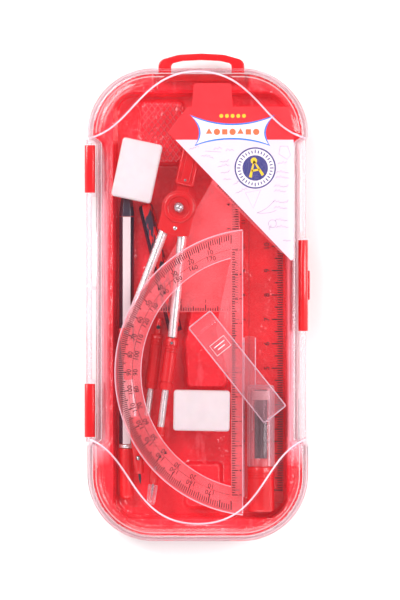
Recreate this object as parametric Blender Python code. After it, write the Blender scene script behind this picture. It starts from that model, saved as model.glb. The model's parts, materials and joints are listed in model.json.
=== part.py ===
"""Drafting compass set: a clear hinged case with a red tray, the compass and its companions.

The case lies on its back. X runs across it, Y towards the handle and Z up through the lid.
Every length below is in millimetres and is turned into metres when a mesh is made.
"""

from math import atan2, cos, pi, radians, sin, sqrt, tan

import bmesh
import bpy
from mathutils import Matrix, Vector

MM = 0.001
GAP = 0.3  # clearance between pieces that touch

# Case: two clear shells with a rim bead, bulged ends and straight recesses at both sides
CASE_HALF_W = 45.0
CASE_HALF_L = 96.5
CASE_CORNER_R = 27.0
CASE_TOP_Z = 24.0
PANEL_Z = 22.4
SPLIT_Z = 11.4
WALL = 1.2
BEAD_OUT = 0.8
BEAD_H = 1.2
RECESS_X = 41.5
RECESS_TOP_Y = 68.6
RECESS_LOW_Y = -57.5
RECESS_SLANT = 2.6
BASE_EDGE_R = 3.0
CAP_EDGE_R = 6.0
PANEL_EDGE_R = 2.0
LID_Z = SPLIT_Z + GAP

# Hinge rods, clips and the latch
ROD_R = 1.1
BORE_R = ROD_R + GAP
HINGE_X = -44.4
LATCH_X = 43.0
BASE_ROD_Z = 8.5
LID_ROD_Z = 14.9
ROD_Y = (-55.8, 67.4)
LUG_T = 1.4
CLIP_Y = {"upper_hinge_clip": (45.8, 65.1), "lower_hinge_clip": (-54.0, -32.3)}
CLIP_X = (-46.2, -41.9)
CLIP_Z = (7.0, 16.4)
LATCH_Y = (-10.7, 26.4)
LATCH_R = 2.0

# Handle: a loop through two notches in the base's end wall
HANDLE_X = 1.5
HANDLE_HALF_W = 17.6
HANDLE_FOOT_W = 5.3
HANDLE_TOP_Y = 102.8
HANDLE_BAR_T = 2.7
HANDLE_Z = (8.2, 11.2)
HANDLE_IN_Y = (91.2, 93.9)

# Tray
TRAY_SHEET = 0.8
TRAY_FLOOR_Z = 1.5
TRAY_FLANGE_Z = 9.4
TRAY_INSET = 2.6
TRAY_SIDE_X = (-36.2, 37.8)
POCKET_X = (-33.6, 36.0)
POCKET_Y = (-86.5, 86.0)
POCKET_R = 8.0
POCKET_DRAFT = 0.9
FLOOR_TOP = TRAY_FLOOR_Z + TRAY_SHEET

# Flat drawing tools, lowest first
RULER_Z = (2.6, 4.0)
SQUARE_60_Z = (8.4, 9.4)
SQUARE_45_Z = (9.7, 10.7)
PROTRACTOR_Z = (14.8, 16.0)
CARD_Z = (20.2, 20.7)
PROTRACTOR_CENTRE = (24.7, -27.6)
PROTRACTOR_R = (47.7, 58.7)
PROTRACTOR_EDGE_X = (13.6, 18.5)
RULER_X = (13.6, 35.4)
RULER_Y = (-81.2, 78.3)

# Compass
PIVOT = (-7.7, 39.7)
AXIS_TILT = radians(13.0)  # the head leans right at the top
LEG_SPREAD = radians(7.5)
LEG_OFFSET = 2.4
LEG_Z = 11.8
TUBE_R = 1.9
TUBE_BORE = 1.3
TUBE_TOP_S = 9.3
TUBE_END_S = {"left": 51.2, "right": 53.0}  # the bent knee needs more room
KNEE_S = 55.4
SLEEVE_R = 2.7
SLEEVE_L = (-2.0, 19.3)
LOWER_ROD_R = 1.4
LOWER_ROD_L = 37.0
TIP_L = (34.5, 58.0)
LOWER_TILT = {"left": radians(5.5), "right": radians(-7.5)}  # from straight down, towards +X

# Pencil
PENCIL_X = -29.1
PENCIL_Z = 5.75
PENCIL_R = 3.1
CAP_R = 3.2


# ---------------------------------------------------------------- scene and materials

for old in list(bpy.data.objects):
    bpy.data.objects.remove(old)


def material(name, colour, roughness, metallic=0.0, alpha=1.0):
    made = bpy.data.materials.new(name)
    made.use_nodes = True
    shader = made.node_tree.nodes["Principled BSDF"]
    shader.inputs["Base Color"].default_value = (*colour, 1.0)
    shader.inputs["Roughness"].default_value = roughness
    shader.inputs["Metallic"].default_value = metallic
    shader.inputs["Alpha"].default_value = alpha
    return made


CLEAR = material("clear_styrene", (0.95, 0.93, 0.96), 0.08, alpha=0.25)
RED_SOLID = material("red_moulding", (0.86, 0.02, 0.03), 0.3)
RED_TRAY = material("red_tray", (0.72, 0.02, 0.04), 0.2, alpha=0.9)
RED_CLEAR = material("tinted_styrene", (0.95, 0.2, 0.24), 0.1, alpha=0.35)
CARD = material("printed_card", (0.93, 0.9, 0.93), 0.6)
ERASER = material("white_vinyl", (0.92, 0.91, 0.9), 0.55)
CHROME = material("chrome", (0.8, 0.79, 0.8), 0.12, 1.0)
STEEL = material("steel", (0.55, 0.54, 0.56), 0.25, 1.0)
GRAPHITE = material("graphite", (0.03, 0.03, 0.035), 0.5)
LACQUER = material("dark_lacquer", (0.05, 0.04, 0.06), 0.25)
PAPER = material("paper_band", (0.85, 0.78, 0.7), 0.7)
WOOD = material("wood", (0.6, 0.4, 0.22), 0.6)


# ---------------------------------------------------------------- outlines

def arc(centre, radius, start, end, steps):
    """Points of an arc, both ends included."""
    turn = (end - start) / steps
    return [
        (centre[0] + radius * cos(start + turn * i), centre[1] + radius * sin(start + turn * i))
        for i in range(steps + 1)
    ]


def rounded(corners, steps=4):
    """A closed outline through (x, y, radius) corners; a big radius gets more steps."""
    points = []
    count = len(corners)
    for i, (x, y, radius) in enumerate(corners):
        before = Vector(corners[i - 1][:2]) - Vector((x, y))
        after = Vector(corners[(i + 1) % count][:2]) - Vector((x, y))
        before.normalize()
        after.normalize()
        half = before.angle(after) / 2
        if radius <= 0:
            points.append((x, y))
            continue
        centre = Vector((x, y)) + (before + after).normalized() * (radius / sin(half))
        first = Vector((x, y)) + before * (radius / tan(half)) - centre
        last = Vector((x, y)) + after * (radius / tan(half)) - centre
        start = atan2(first.y, first.x)
        turn = atan2(last.y, last.x) - start
        turn = (turn + pi) % (2 * pi) - pi
        pieces = steps * 4 if radius > 15 else steps
        points += arc(centre, radius, start, start + turn, pieces)
    return points


def box_outline(x0, x1, y0, y1, radius=0.0, steps=4):
    return rounded([(x0, y0, radius), (x1, y0, radius), (x1, y1, radius), (x0, y1, radius)], steps)


def rim_outline(inset, side=None):
    """The case's outline with its side recesses, moved inwards by inset."""
    w = CASE_HALF_W - inset
    h = CASE_HALF_L - inset
    r = CASE_CORNER_R - inset
    left, right = side or (-(RECESS_X - inset), RECESS_X - inset)
    top, low = RECESS_TOP_Y, RECESS_LOW_Y
    soft = 1.2
    return rounded([
        (w, h, r), (-w, h, r),
        (-w, top, soft), (left, top - RECESS_SLANT, soft),
        (left, low + RECESS_SLANT, soft), (-w, low, soft),
        (-w, -h, r), (w, -h, r),
        (w, low, soft), (right, low + RECESS_SLANT, soft),
        (right, top - RECESS_SLANT, soft), (w, top, soft),
    ], 3)


def full_outline(inset):
    """The case's outline without recesses."""
    w = CASE_HALF_W - inset
    h = CASE_HALF_L - inset
    r = CASE_CORNER_R - inset
    return rounded([(w, h, r), (-w, h, r), (-w, -h, r), (w, -h, r)], 3)


def bezier(p0, p1, p2, p3, steps):
    points = []
    for i in range(steps + 1):
        t = i / steps
        a, b, c, d = (1 - t) ** 3, 3 * t * (1 - t) ** 2, 3 * t * t * (1 - t), t ** 3
        points.append((
            a * p0[0] + b * p1[0] + c * p2[0] + d * p3[0],
            a * p0[1] + b * p1[1] + c * p2[1] + d * p3[1],
        ))
    return points


# ---------------------------------------------------------------- solids

def made_object(name, bm, mat, smooth=True):
    """Turn a bmesh in millimetres into an object in metres."""
    bmesh.ops.remove_doubles(bm, verts=bm.verts, dist=1e-4)
    bmesh.ops.recalc_face_normals(bm, faces=bm.faces)
    bmesh.ops.scale(bm, vec=(MM, MM, MM), verts=bm.verts)
    mesh = bpy.data.meshes.new(name)
    bm.to_mesh(mesh)
    bm.free()
    made = bpy.data.objects.new(name, mesh)
    bpy.context.scene.collection.objects.link(made)
    mesh.materials.append(mat)
    if smooth:
        mesh.shade_smooth()
        mesh.set_sharp_from_angle(angle=radians(35))
    return made


def rings_solid(name, rings, mat, closed=False):
    """A closed solid through rings of equal point counts; closed joins the last ring to the first."""
    bm = bmesh.new()
    loops = [[bm.verts.new(p) for p in ring] for ring in rings]
    pairs = list(zip(loops, loops[1:]))
    if closed:
        pairs.append((loops[-1], loops[0]))
    for low, high in pairs:
        count = len(low)
        for i in range(count):
            j = (i + 1) % count
            bm.faces.new((low[i], low[j], high[j], high[i]))
    if not closed:
        bm.faces.new(list(reversed(loops[0])))
        bm.faces.new(loops[-1])
    return made_object(name, bm, mat)


def level(outline, z):
    return [(x, y, z) for x, y in outline]


def prism(name, outline, z0, z1, mat, top=None):
    return rings_solid(name, [level(outline, z0), level(top or outline, z1)], mat)


def soft_prism(name, shrink, z0, z1, edge, mat, steps=2):
    """A prism with rounded top and bottom edges; shrink(d) gives its outline moved in by d."""
    rings = []
    for i in range(steps + 1):
        a = (pi / 2) * i / steps
        rings.append(level(shrink(edge * (1 - sin(a))), z0 + edge * (1 - cos(a))))
    for i in range(steps + 1):
        a = (pi / 2) * i / steps
        rings.append(level(shrink(edge * (1 - cos(a))), z1 - edge * (1 - sin(a))))
    return rings_solid(name, rings, mat)


def block(name, x, y, z, mat, edge=0.0):
    if edge:
        def shrink(d):
            return box_outline(x[0] + d, x[1] - d, y[0] + d, y[1] - d, max(edge - d, 0.05), 3)
        return soft_prism(name, shrink, z[0], z[1], edge, mat)
    return prism(name, box_outline(x[0], x[1], y[0], y[1]), z[0], z[1], mat)


def turned(name, profile, start, direction, mat, hollow=False, seg=24):
    """Turn (distance, radius) points about a line; hollow means that the points are a closed loop."""
    along = Vector(direction).normalized()
    side = along.cross(Vector((0, 0, 1)))
    if side.length < 1e-6:
        side = Vector((1, 0, 0))
    side.normalize()
    up = side.cross(along)
    base = Vector(start)
    rings = []
    for distance, radius in profile:
        rings.append([
            base + along * distance
            + (side * cos(2 * pi * i / seg) + up * sin(2 * pi * i / seg)) * radius
            for i in range(seg)
        ])
    return rings_solid(name, rings, mat, closed=hollow)


def combine(target, tools, operation="UNION"):
    """Apply Booleans to target and delete the tools."""
    for tool in tools:
        modifier = target.modifiers.new("cut", "BOOLEAN")
        modifier.operation = operation
        modifier.solver = "EXACT"
        modifier.object = tool
        graph = bpy.context.evaluated_depsgraph_get()
        mesh = bpy.data.meshes.new_from_object(target.evaluated_get(graph))
        target.modifiers.clear()
        target.data = mesh
        bpy.data.objects.remove(tool)
    target.data.shade_smooth()
    target.data.set_sharp_from_angle(angle=radians(35))
    return target


def put_origin(target, point):
    """Move the object's origin, and leave its shape where it is."""
    place = Vector(point) * MM
    target.data.transform(Matrix.Translation(-place))
    target.location = place
    return target


# ---------------------------------------------------------------- case

def edge_rings(inset, wall_z, top_z, radius, outline, steps=3):
    """Rings from a wall's foot, up round an edge of the radius, to the flat at top_z."""
    up = 1 if top_z > wall_z else -1
    rings = [level(outline(inset), wall_z)]
    for i in range(steps + 1):
        a = (pi / 2) * i / steps
        rings.append(level(outline(inset + radius * (1 - cos(a))), top_z - up * radius * (1 - sin(a))))
    return rings


def rods_and_lugs(x, z, wall_x, lug_ys):
    """The rod that clips turn on, and the lugs that join it to the wall."""
    rod = turned("rod", [(0, ROD_R), (ROD_Y[1] - ROD_Y[0], ROD_R)], (x, ROD_Y[0], z), (0, 1, 0), CLEAR, seg=20)
    pieces = [rod]
    for y in lug_ys:
        low, high = sorted((x, wall_x))
        pieces.append(block("lug", (low, high), (y, y + LUG_T), (z - 0.9, z + 0.9), CLEAR))
    return pieces


HINGE_LUGS = (ROD_Y[0], -31.9, 6.0, 44.2, ROD_Y[1] - LUG_T)
LATCH_LUGS = (ROD_Y[0], LATCH_Y[0] - 0.4 - LUG_T, LATCH_Y[1] + 0.4, ROD_Y[1] - LUG_T)


def make_case_base():
    wall = BEAD_OUT
    outer = edge_rings(wall, SPLIT_Z - BEAD_H, 0.0, BASE_EDGE_R, rim_outline)
    outer.reverse()
    bead = [level(rim_outline(0), SPLIT_Z - BEAD_H), level(rim_outline(0), SPLIT_Z)]
    inner = edge_rings(wall + WALL, SPLIT_Z, WALL, BASE_EDGE_R - WALL, rim_outline)
    base = rings_solid("case_base", outer + bead + inner, CLEAR)
    wall_x = RECESS_X - BEAD_OUT - 0.4
    rods = rods_and_lugs(HINGE_X, BASE_ROD_Z, -wall_x, HINGE_LUGS)
    catch = block("catch", (wall_x, 42.6), (LATCH_Y[0] + 3, LATCH_Y[1] - 3), (7.7, 9.0), CLEAR)
    combine(base, rods + [catch])
    notches = []
    for side in (-1, 1):
        middle = HANDLE_X + side * (HANDLE_HALF_W - HANDLE_FOOT_W / 2)
        half = HANDLE_FOOT_W / 2 + GAP
        notches.append(block(
            "notch", (middle - half, middle + half), (CASE_HALF_L - 6, CASE_HALF_L + 2),
            (HANDLE_Z[0] - GAP, SPLIT_Z + 1), CLEAR,
        ))
    return combine(base, notches, "DIFFERENCE")


def cap_region(top, shift, z0, z1):
    """The prism over one bulged end, bounded by an S-curve at each side of the middle."""
    if top:
        half = bezier((0, 94.6), (24, 94.6), (28, 70), (52, 66.4), 14)
        far = CASE_HALF_L + 10
        sign = 1
    else:
        half = bezier((0, -88.8), (22, -88.8), (29, -58), (52, -53.4), 14)
        far = -CASE_HALF_L - 10
        sign = -1
    curve = [(-x, y) for x, y in reversed(half[1:])] + half
    slope = 0.5
    low = [(x, y + sign * (shift - slope)) for x, y in curve] + [(52, far), (-52, far)]
    high = [(x, y + sign * (shift + slope)) for x, y in curve] + [(52, far), (-52, far)]
    return prism("region", low, z0, z1, CLEAR, top=high)


def lid_solid(name, grow, z0):
    """The lid's outer form for grow 0, and its hollow for grow WALL."""
    inset = BEAD_OUT + grow
    panel = rings_solid(
        name, edge_rings(inset, z0, PANEL_Z - grow, PANEL_EDGE_R - grow * 0.8, rim_outline), CLEAR
    )
    ends = []
    for top in (True, False):
        cap = rings_solid(
            "cap", edge_rings(inset, z0, CASE_TOP_Z - grow, CAP_EDGE_R - grow * 0.8, full_outline, 5), CLEAR
        )
        region = cap_region(top, grow * 1.2, z0 - 1, CASE_TOP_Z + 1)
        ends.append(combine(cap, [region], "INTERSECT"))
    return combine(panel, ends)


def make_case_lid():
    lid = lid_solid("case_lid", 0.0, LID_Z)
    bead = prism("bead", rim_outline(0), LID_Z, LID_Z + BEAD_H, CLEAR)
    combine(lid, [bead])
    combine(lid, [lid_solid("hollow", WALL, LID_Z - 1)], "DIFFERENCE")
    wall_x = RECESS_X - BEAD_OUT - 0.4
    rods = rods_and_lugs(HINGE_X, LID_ROD_Z, -wall_x, HINGE_LUGS)
    rods += rods_and_lugs(LATCH_X, LID_ROD_Z, wall_x, LATCH_LUGS)
    combine(lid, rods)
    return put_origin(lid, (HINGE_X, 0, LID_ROD_Z))


def xz_prism(name, outline, y0, y1, mat):
    """Extrude an (x, z) outline along Y."""
    rings = [[(x, y0, z) for x, z in outline], [(x, y1, z) for x, z in outline]]
    return rings_solid(name, rings, mat)


def make_hinge_clip(name):
    y0, y1 = CLIP_Y[name]
    clip = xz_prism(name, box_outline(*CLIP_X, *CLIP_Z, 1.3, 5), y0, y1, RED_SOLID)
    bores = [
        turned("bore", [(0, BORE_R), (y1 - y0 + 2, BORE_R)], (HINGE_X, y0 - 1, z), (0, 1, 0), RED_SOLID, seg=24)
        for z in (BASE_ROD_Z, LID_ROD_Z)
    ]
    combine(clip, bores, "DIFFERENCE")
    return put_origin(clip, (HINGE_X, 0, BASE_ROD_Z))


def make_latch():
    y0, y1 = LATCH_Y
    outer_x = LATCH_X + LATCH_R
    crown = arc((LATCH_X, LID_ROD_Z), LATCH_R, pi, 0, 12)
    foot = [(outer_x, 7.2), (outer_x - 0.7, 6.4), (41.9, 6.4), (41.9, 7.2), (outer_x - 1.7, 7.4)]
    outline = crown + foot + [(outer_x - 1.7, 12.2), (LATCH_X - LATCH_R + 0.5, 13.6)]
    latch = xz_prism("latch", outline, y0, y1, RED_SOLID)
    bore = turned("bore", [(0, BORE_R), (y1 - y0 + 2, BORE_R)], (LATCH_X, y0 - 1, LID_ROD_Z), (0, 1, 0), RED_SOLID)
    combine(latch, [bore], "DIFFERENCE")
    grip_z = (6.9, 8.3)
    thumb = block("thumb", (outer_x - 0.6, outer_x + 0.9), (2.0, 14.0), grip_z, RED_SOLID, 0.3)
    combine(latch, [thumb])
    return put_origin(latch, (LATCH_X, 0, LID_ROD_Z))


def make_handle():
    """A flat loop: a curved bar outside, two feet through the wall and a crossbar inside."""
    inner_half = HANDLE_HALF_W - HANDLE_FOOT_W
    side_y = HANDLE_TOP_Y - 2.9

    def outer(d):
        return rounded([
            (HANDLE_X - HANDLE_HALF_W + d, HANDLE_IN_Y[0] + d, 1.0),
            (HANDLE_X + HANDLE_HALF_W - d, HANDLE_IN_Y[0] + d, 1.0),
            (HANDLE_X + HANDLE_HALF_W - d, side_y, 3.2),
            (HANDLE_X + inner_half - 3.0, HANDLE_TOP_Y - 0.5 - d, 12.0),
            (HANDLE_X, HANDLE_TOP_Y - d, 18.0),
            (HANDLE_X - inner_half + 3.0, HANDLE_TOP_Y - 0.5 - d, 12.0),
            (HANDLE_X - HANDLE_HALF_W + d, side_y, 3.2),
        ], 5)

    loop = soft_prism("handle", outer, *HANDLE_Z, 0.5, RED_SOLID)
    hole = prism("hole", rounded([
        (HANDLE_X - inner_half, HANDLE_IN_Y[1], 0.5),
        (HANDLE_X + inner_half, HANDLE_IN_Y[1], 0.5),
        (HANDLE_X + inner_half, HANDLE_TOP_Y - HANDLE_BAR_T - 1.5, 1.6),
        (HANDLE_X + inner_half - 4.5, HANDLE_TOP_Y - HANDLE_BAR_T - 0.4, 10.0),
        (HANDLE_X, HANDLE_TOP_Y - HANDLE_BAR_T, 16.0),
        (HANDLE_X - inner_half + 4.5, HANDLE_TOP_Y - HANDLE_BAR_T - 0.4, 10.0),
        (HANDLE_X - inner_half, HANDLE_TOP_Y - HANDLE_BAR_T - 1.5, 1.6),
    ]), HANDLE_Z[0] - 1, HANDLE_Z[1] + 1, RED_SOLID)
    return combine(loop, [hole], "DIFFERENCE")


# ---------------------------------------------------------------- tray

ISLANDS = [
    # outline corners (x, y, radius) and the height of the raised flat
    ([(-5.2, -35.0, 3), (13.0, -35.0, 3), (13.0, 3.6, 3), (-3.0, 3.6, 3), (-6.4, -16.0, 4)], 8.0),
    ([(-24.4, 59.0, 3), (-8.0, 59.0, 3), (-8.0, 84.0, 3), (-24.4, 84.0, 3)], 9.0),
    ([(-6.0, -84.0, 3), (10.5, -84.0, 3), (10.5, -64.0, 3), (-6.0, -64.0, 3)], 5.0),
]


def shrunk(corners, d):
    """Corners of a convex outline pulled towards its middle by about d."""
    cx = sum(c[0] for c in corners) / len(corners)
    cy = sum(c[1] for c in corners) / len(corners)
    return [
        (x - d * (1 if x > cx else -1), y - d * (1 if y > cy else -1), max(r - d / 2, 0.4))
        for x, y, r in corners
    ]


def pocket(grow, z0, z1):
    x0, x1 = POCKET_X
    y0, y1 = POCKET_Y

    def outline(g):
        return box_outline(x0 - g, x1 + g, y0 - g, y1 + g, POCKET_R + g, 6)

    return prism("pocket", outline(grow), z0, z1, RED_TRAY, top=outline(grow + POCKET_DRAFT))


def make_tray():
    flange_z = (TRAY_FLANGE_Z, TRAY_FLANGE_Z + TRAY_SHEET)
    tray = prism("inner_tray", rim_outline(TRAY_INSET, TRAY_SIDE_X), *flange_z, RED_TRAY)
    combine(tray, [pocket(TRAY_SHEET, TRAY_FLOOR_Z, flange_z[1] - 0.05)])
    hollow = pocket(0.0, FLOOR_TOP, flange_z[1] + 0.5)
    for corners, top in ISLANDS:
        foot = rounded(corners)
        crest = rounded(shrunk(corners, 0.8))
        combine(hollow, [prism("island", foot, FLOOR_TOP - 1, top, RED_TRAY, top=crest)], "DIFFERENCE")
    combine(tray, [hollow], "DIFFERENCE")
    under = [
        prism(
            "under", rounded(shrunk(corners, TRAY_SHEET)), TRAY_FLOOR_Z - 1, top - TRAY_SHEET,
            RED_TRAY, top=rounded(shrunk(corners, TRAY_SHEET + 0.8)),
        )
        for corners, top in ISLANDS
    ]
    combine(tray, under, "DIFFERENCE")
    room = block(
        "room", (HANDLE_X - HANDLE_HALF_W - 0.8, HANDLE_X + HANDLE_HALF_W + 0.8),
        (HANDLE_IN_Y[0] - 3.4, CASE_HALF_L), (HANDLE_Z[0] - 1, SPLIT_Z), RED_TRAY,
    )
    return combine(tray, [room], "DIFFERENCE")


# ---------------------------------------------------------------- flat tools and card

def make_card():
    outline = rounded([
        (-12.0, 70.2, 0), (38.0, 18.0, 0), (39.0, 18.6, 0.5), (39.0, 78.0, 2.5), (36.5, 80.7, 2.0),
        (14.2, 80.7, 0), (13.6, 90.2, 1.0), (-1.6, 90.2, 1.0), (-2.4, 80.7, 0), (-4.0, 80.7, 0.5),
    ], 3)
    return prism("card_insert", outline, *CARD_Z, CARD)


def plate(name, corners, z, mat):
    """A flat plate with small rounded corners and a softened edge."""
    def shrink(d):
        return rounded(shrunk(corners, d), 3)
    return soft_prism(name, shrink, z[0], z[1], 0.2, mat, 1)


def make_ruler():
    x0, x1 = RULER_X
    y0, y1 = RULER_Y
    corners = [(x0, y0, 1.5), (x1, y0, 1.5), (x1, y1, 1.5), (x0, y1, 1.5)]
    ruler = plate("ruler", corners, RULER_Z, CLEAR)
    hole = turned("hole", [(0, 2.2), (4, 2.2)], ((x0 + x1) / 2, y0 + 5.5, 1.5), (0, 0, 1), CLEAR)
    return combine(ruler, [hole], "DIFFERENCE")


def make_square_60():
    right_x, top_y, height = 17.2, 70.0, 73.0
    corners = [(right_x - height / sqrt(3), top_y - height, 0.8), (right_x, top_y - height, 0.8), (right_x, top_y, 0.8)]
    return prism("set_square_60", rounded(corners, 3), *SQUARE_60_Z, RED_CLEAR)


def make_square_45():
    edge_x, top_y, hyp = 35.3, 80.0, 60.0
    corners = [(edge_x, top_y - hyp, 0.8), (edge_x, top_y, 0.8), (edge_x - hyp / 2, top_y - hyp / 2, 0.8)]
    return prism("set_square_45", rounded(corners, 3), *SQUARE_45_Z, RED_CLEAR)


def make_protractor():
    cx, cy = PROTRACTOR_CENTRE
    r_in, r_out = PROTRACTOR_R
    x_in, x_out = PROTRACTOR_EDGE_X

    def chord(radius, x):
        return pi - atan2(sqrt(radius ** 2 - (cx - x) ** 2), cx - x)

    start = chord(r_out, x_out)
    body = arc((cx, cy), r_out, start, 2 * pi - start, 72)
    solid = prism("protractor", body, *PROTRACTOR_Z, RED_CLEAR)
    start = chord(r_in, x_in)
    window = arc((cx, cy), r_in, start, 2 * pi - start, 60)
    window += [(x_in, -31.1), (7.4, -10.3), (12.8, 16.0)]
    cut = prism("window", window, PROTRACTOR_Z[0] - 1, PROTRACTOR_Z[1] + 1, RED_CLEAR)
    return combine(solid, [cut], "DIFFERENCE")


def make_eraser(name, centre, size, turn, z):
    half_w, half_l = size[0] / 2, size[1] / 2
    rubber = block(name, (-half_w, half_w), (-half_l, half_l), z, ERASER, 1.0)
    rubber.data.transform(Matrix.Rotation(radians(turn), 4, "Z"))
    return place_at(rubber, centre)


def place_at(target, centre):
    target.location = (centre[0] * MM, centre[1] * MM, 0)
    return target


# ---------------------------------------------------------------- lead case and lead tube

def make_lead_case():
    """A flat clear box and its short sliding cap, lying across the set."""
    width, height, length, cap_l = 11.8, 3.6, 50.0, 4.6
    z0 = 16.3
    half = width / 2

    def shell(name, y0, y1, open_low):
        body = block(name, (-half, half), (y0, y1), (z0, z0 + height), CLEAR, 0.6)
        reach = (y0 - 5, y1 - 0.9) if open_low else (y0 + 0.9, y1 + 5)
        hollow = block(
            "hollow", (-half + 0.8, half - 0.8), reach, (z0 + 0.8, z0 + height - 0.8), CLEAR
        )
        return combine(body, [hollow], "DIFFERENCE")

    pieces = [
        shell("lead_case_cap", -cap_l, 0.0, True),
        shell("lead_case_body", -length, -cap_l - GAP, False),
    ]
    turn = radians(90 - 51.5)
    for piece in pieces:
        piece.data.transform(Matrix.Rotation(turn, 4, "Z"))
        place_at(piece, (0.9 - 0.6 * sin(turn), -6.2 + 0.6 * cos(turn)))
    return pieces


def make_lead_tube():
    x, z, r = 25.8, 10.0, 5.5
    top, low = -32.8, -66.0
    down = (0, -1, 0)
    length = top - low
    tube = turned("lead_tube", [
        (0, 1.5), (0, r - 1.2), (0.35, r - 0.35), (1.2, r), (length, r), (length, r - 0.8), (1.4, r - 0.8),
        (0.8, r - 1.6), (0.8, 1.5),
    ], (x, top, z), down, CLEAR, hollow=True, seg=32)
    bundle = turned("lead_bundle", [(1.8, 2.5), (2.0, 2.85), (length + 2.0, 2.85), (length + 2.3, 2.5)],
                    (x, top, z), down, GRAPHITE, seg=24)
    band = turned("lead_band", [(2.4, 3.15), (2.4, 3.5), (6.1, 3.5), (6.1, 3.15)],
                  (x, top, z), down, PAPER, hollow=True, seg=24)
    stop = turned("lead_tube_stopper", [
        (-3.2, 3.3), (-3.2, 4.2), (-2.9, 4.4), (0.3, 4.4), (0.3, r - 0.3), (0.6, r), (18.0, r), (18.6, r - 0.6),
        (18.6, 0.9), (4.0, 0.9), (4.0, 3.3),
    ], (x, low, z), down, RED_SOLID, hollow=True, seg=28)
    return tube, bundle, band, stop


# ---------------------------------------------------------------- pencils

def hexagon(y, radius, x=PENCIL_X, z=PENCIL_Z):
    """Six corners with a flat side up."""
    return [(x + radius * cos(pi * i / 3), y, z + radius * sin(pi * i / 3)) for i in range(6)]


def make_pencil():
    top, low = 36.0, -57.0
    down = (0, -1, 0)
    barrel = rings_solid("pencil_barrel", [hexagon(low, PENCIL_R), hexagon(top, PENCIL_R)], LACQUER)
    dipped = rings_solid("pencil_dipped_end", [
        hexagon(top + GAP, PENCIL_R), hexagon(top + 1.2, PENCIL_R),
        hexagon(top + 5.5, PENCIL_R * 0.86), hexagon(top + 8.5, PENCIL_R * 0.66), hexagon(top + 9.2, PENCIL_R * 0.4),
    ], LACQUER)
    for piece in (barrel, dipped):
        piece.data.shade_flat()
    start = (PENCIL_X, low - GAP, PENCIL_Z)
    ferrule = turned("pencil_ferrule", [(0, 2.2), (0, 3.0), (0.2, 3.15), (1.1, 3.15), (1.3, 3.0), (1.3, 2.2)],
                     start, down, CHROME, hollow=True)
    point = turned("pencil_point", [(0, 1.9), (4.2, 1.9), (13.5, 0.5), (15.5, 0.25)], start, down, WOOD, seg=24)
    cap = turned("pencil_cap", [
        (1.6, 2.5), (1.6, CAP_R - 0.1), (1.9, CAP_R), (15, CAP_R - 0.15), (21.6, CAP_R - 0.3), (22.4, CAP_R - 1.0),
        (22.6, 0.9), (18.0, 0.9), (5.0, 2.5),
    ], start, down, RED_SOLID, hollow=True)
    return barrel, dipped, ferrule, point, cap


def make_spare_pencil():
    """A second, two-tone pencil that lies askew under the compass."""
    top, low = Vector((-21.6, 41.2)), Vector((-9.2, -11.0))
    radius, z = 3.0, 2.6 + 3.0 * sin(pi / 3)
    along = (low - top).normalized()
    across = Vector((-along.y, along.x))
    length = (low - top).length
    rings = []
    for s, r in ((0, radius * 0.7), (0.8, radius * 0.92), (1.6, radius), (length - 0.3, radius), (length, radius * 0.9)):
        at = top + along * s
        rings.append([
            (at.x + across.x * r * cos(pi * i / 3), at.y + across.y * r * cos(pi * i / 3), z + r * sin(pi * i / 3))
            for i in range(6)
        ])
    pencil = rings_solid("spare_pencil", rings, LACQUER)
    pencil.data.shade_flat()
    return pencil


def make_extension_bar():
    """The bar that lengthens a leg: a red socket with its clamp screw, and a plain rod."""
    top, z = (-15.7, -5.6), 5.45
    tilt = radians(7.0)
    down = (-sin(tilt), -cos(tilt), 0)
    socket = turned("extension_socket", [
        (0, 1.0), (0.4, 1.4), (6.2, 1.4), (7.0, 2.55), (28.6, 2.55), (29.0, 2.2), (29.0, 1.6), (20.0, 1.6),
    ], (*top, z), down, RED_SOLID)
    rod = turned("extension_rod", [(20.5, 1.0), (20.8, 1.3), (40.0, 1.3), (40.4, 0.9)], (*top, z), down, CHROME, seg=24)
    return socket, rod


# ---------------------------------------------------------------- compass

def rotate2(vector, angle):
    return (vector[0] * cos(angle) - vector[1] * sin(angle), vector[0] * sin(angle) + vector[1] * cos(angle))


HEAD_DOWN = (-sin(AXIS_TILT), -cos(AXIS_TILT))
HEAD_RIGHT = (cos(AXIS_TILT), -sin(AXIS_TILT))


def head_point(across, along):
    """World x, y of a point given across the head and down along its axis."""
    return (
        PIVOT[0] + HEAD_RIGHT[0] * across + HEAD_DOWN[0] * along,
        PIVOT[1] + HEAD_RIGHT[1] * across + HEAD_DOWN[1] * along,
    )


def leg_axes(side):
    """Unit vectors along a leg and outwards from the compass's middle."""
    sign = -1 if side == "left" else 1
    along = rotate2(HEAD_DOWN, sign * LEG_SPREAD)
    out = (-along[1] * sign, along[0] * sign)
    return along, out


def leg_point(side, s, off=LEG_OFFSET):
    along, out = leg_axes(side)
    return (PIVOT[0] + along[0] * s + out[0] * off, PIVOT[1] + along[1] * s + out[1] * off)


def make_head():
    outline = [head_point(*p) for p in head_outline()]
    front = prism("compass_front_cover", outline, 14.0, 15.2, RED_SOLID)
    disc = turned("disc", [(0, 6.2), (0.9, 6.2), (1.2, 5.9), (1.2, 4.4), (0.7, 4.1), (0.7, 0)],
                  (*PIVOT, 14.9), (0, 0, 1), RED_SOLID, seg=48)
    combine(front, [disc])
    hole = [(0, 1.5), (12, 1.5)]
    combine(front, [turned("hole", hole, (*PIVOT, 8), (0, 0, 1), RED_SOLID)], "DIFFERENCE")
    back = turned("compass_back_cover", [(0, 1.5), (0, 6.4), (0.3, 6.7), (1.0, 6.7), (1.0, 1.5)],
                  (*PIVOT, 9.7), (0, 0, 1), RED_SOLID, hollow=True, seg=32)
    return front, back


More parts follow.
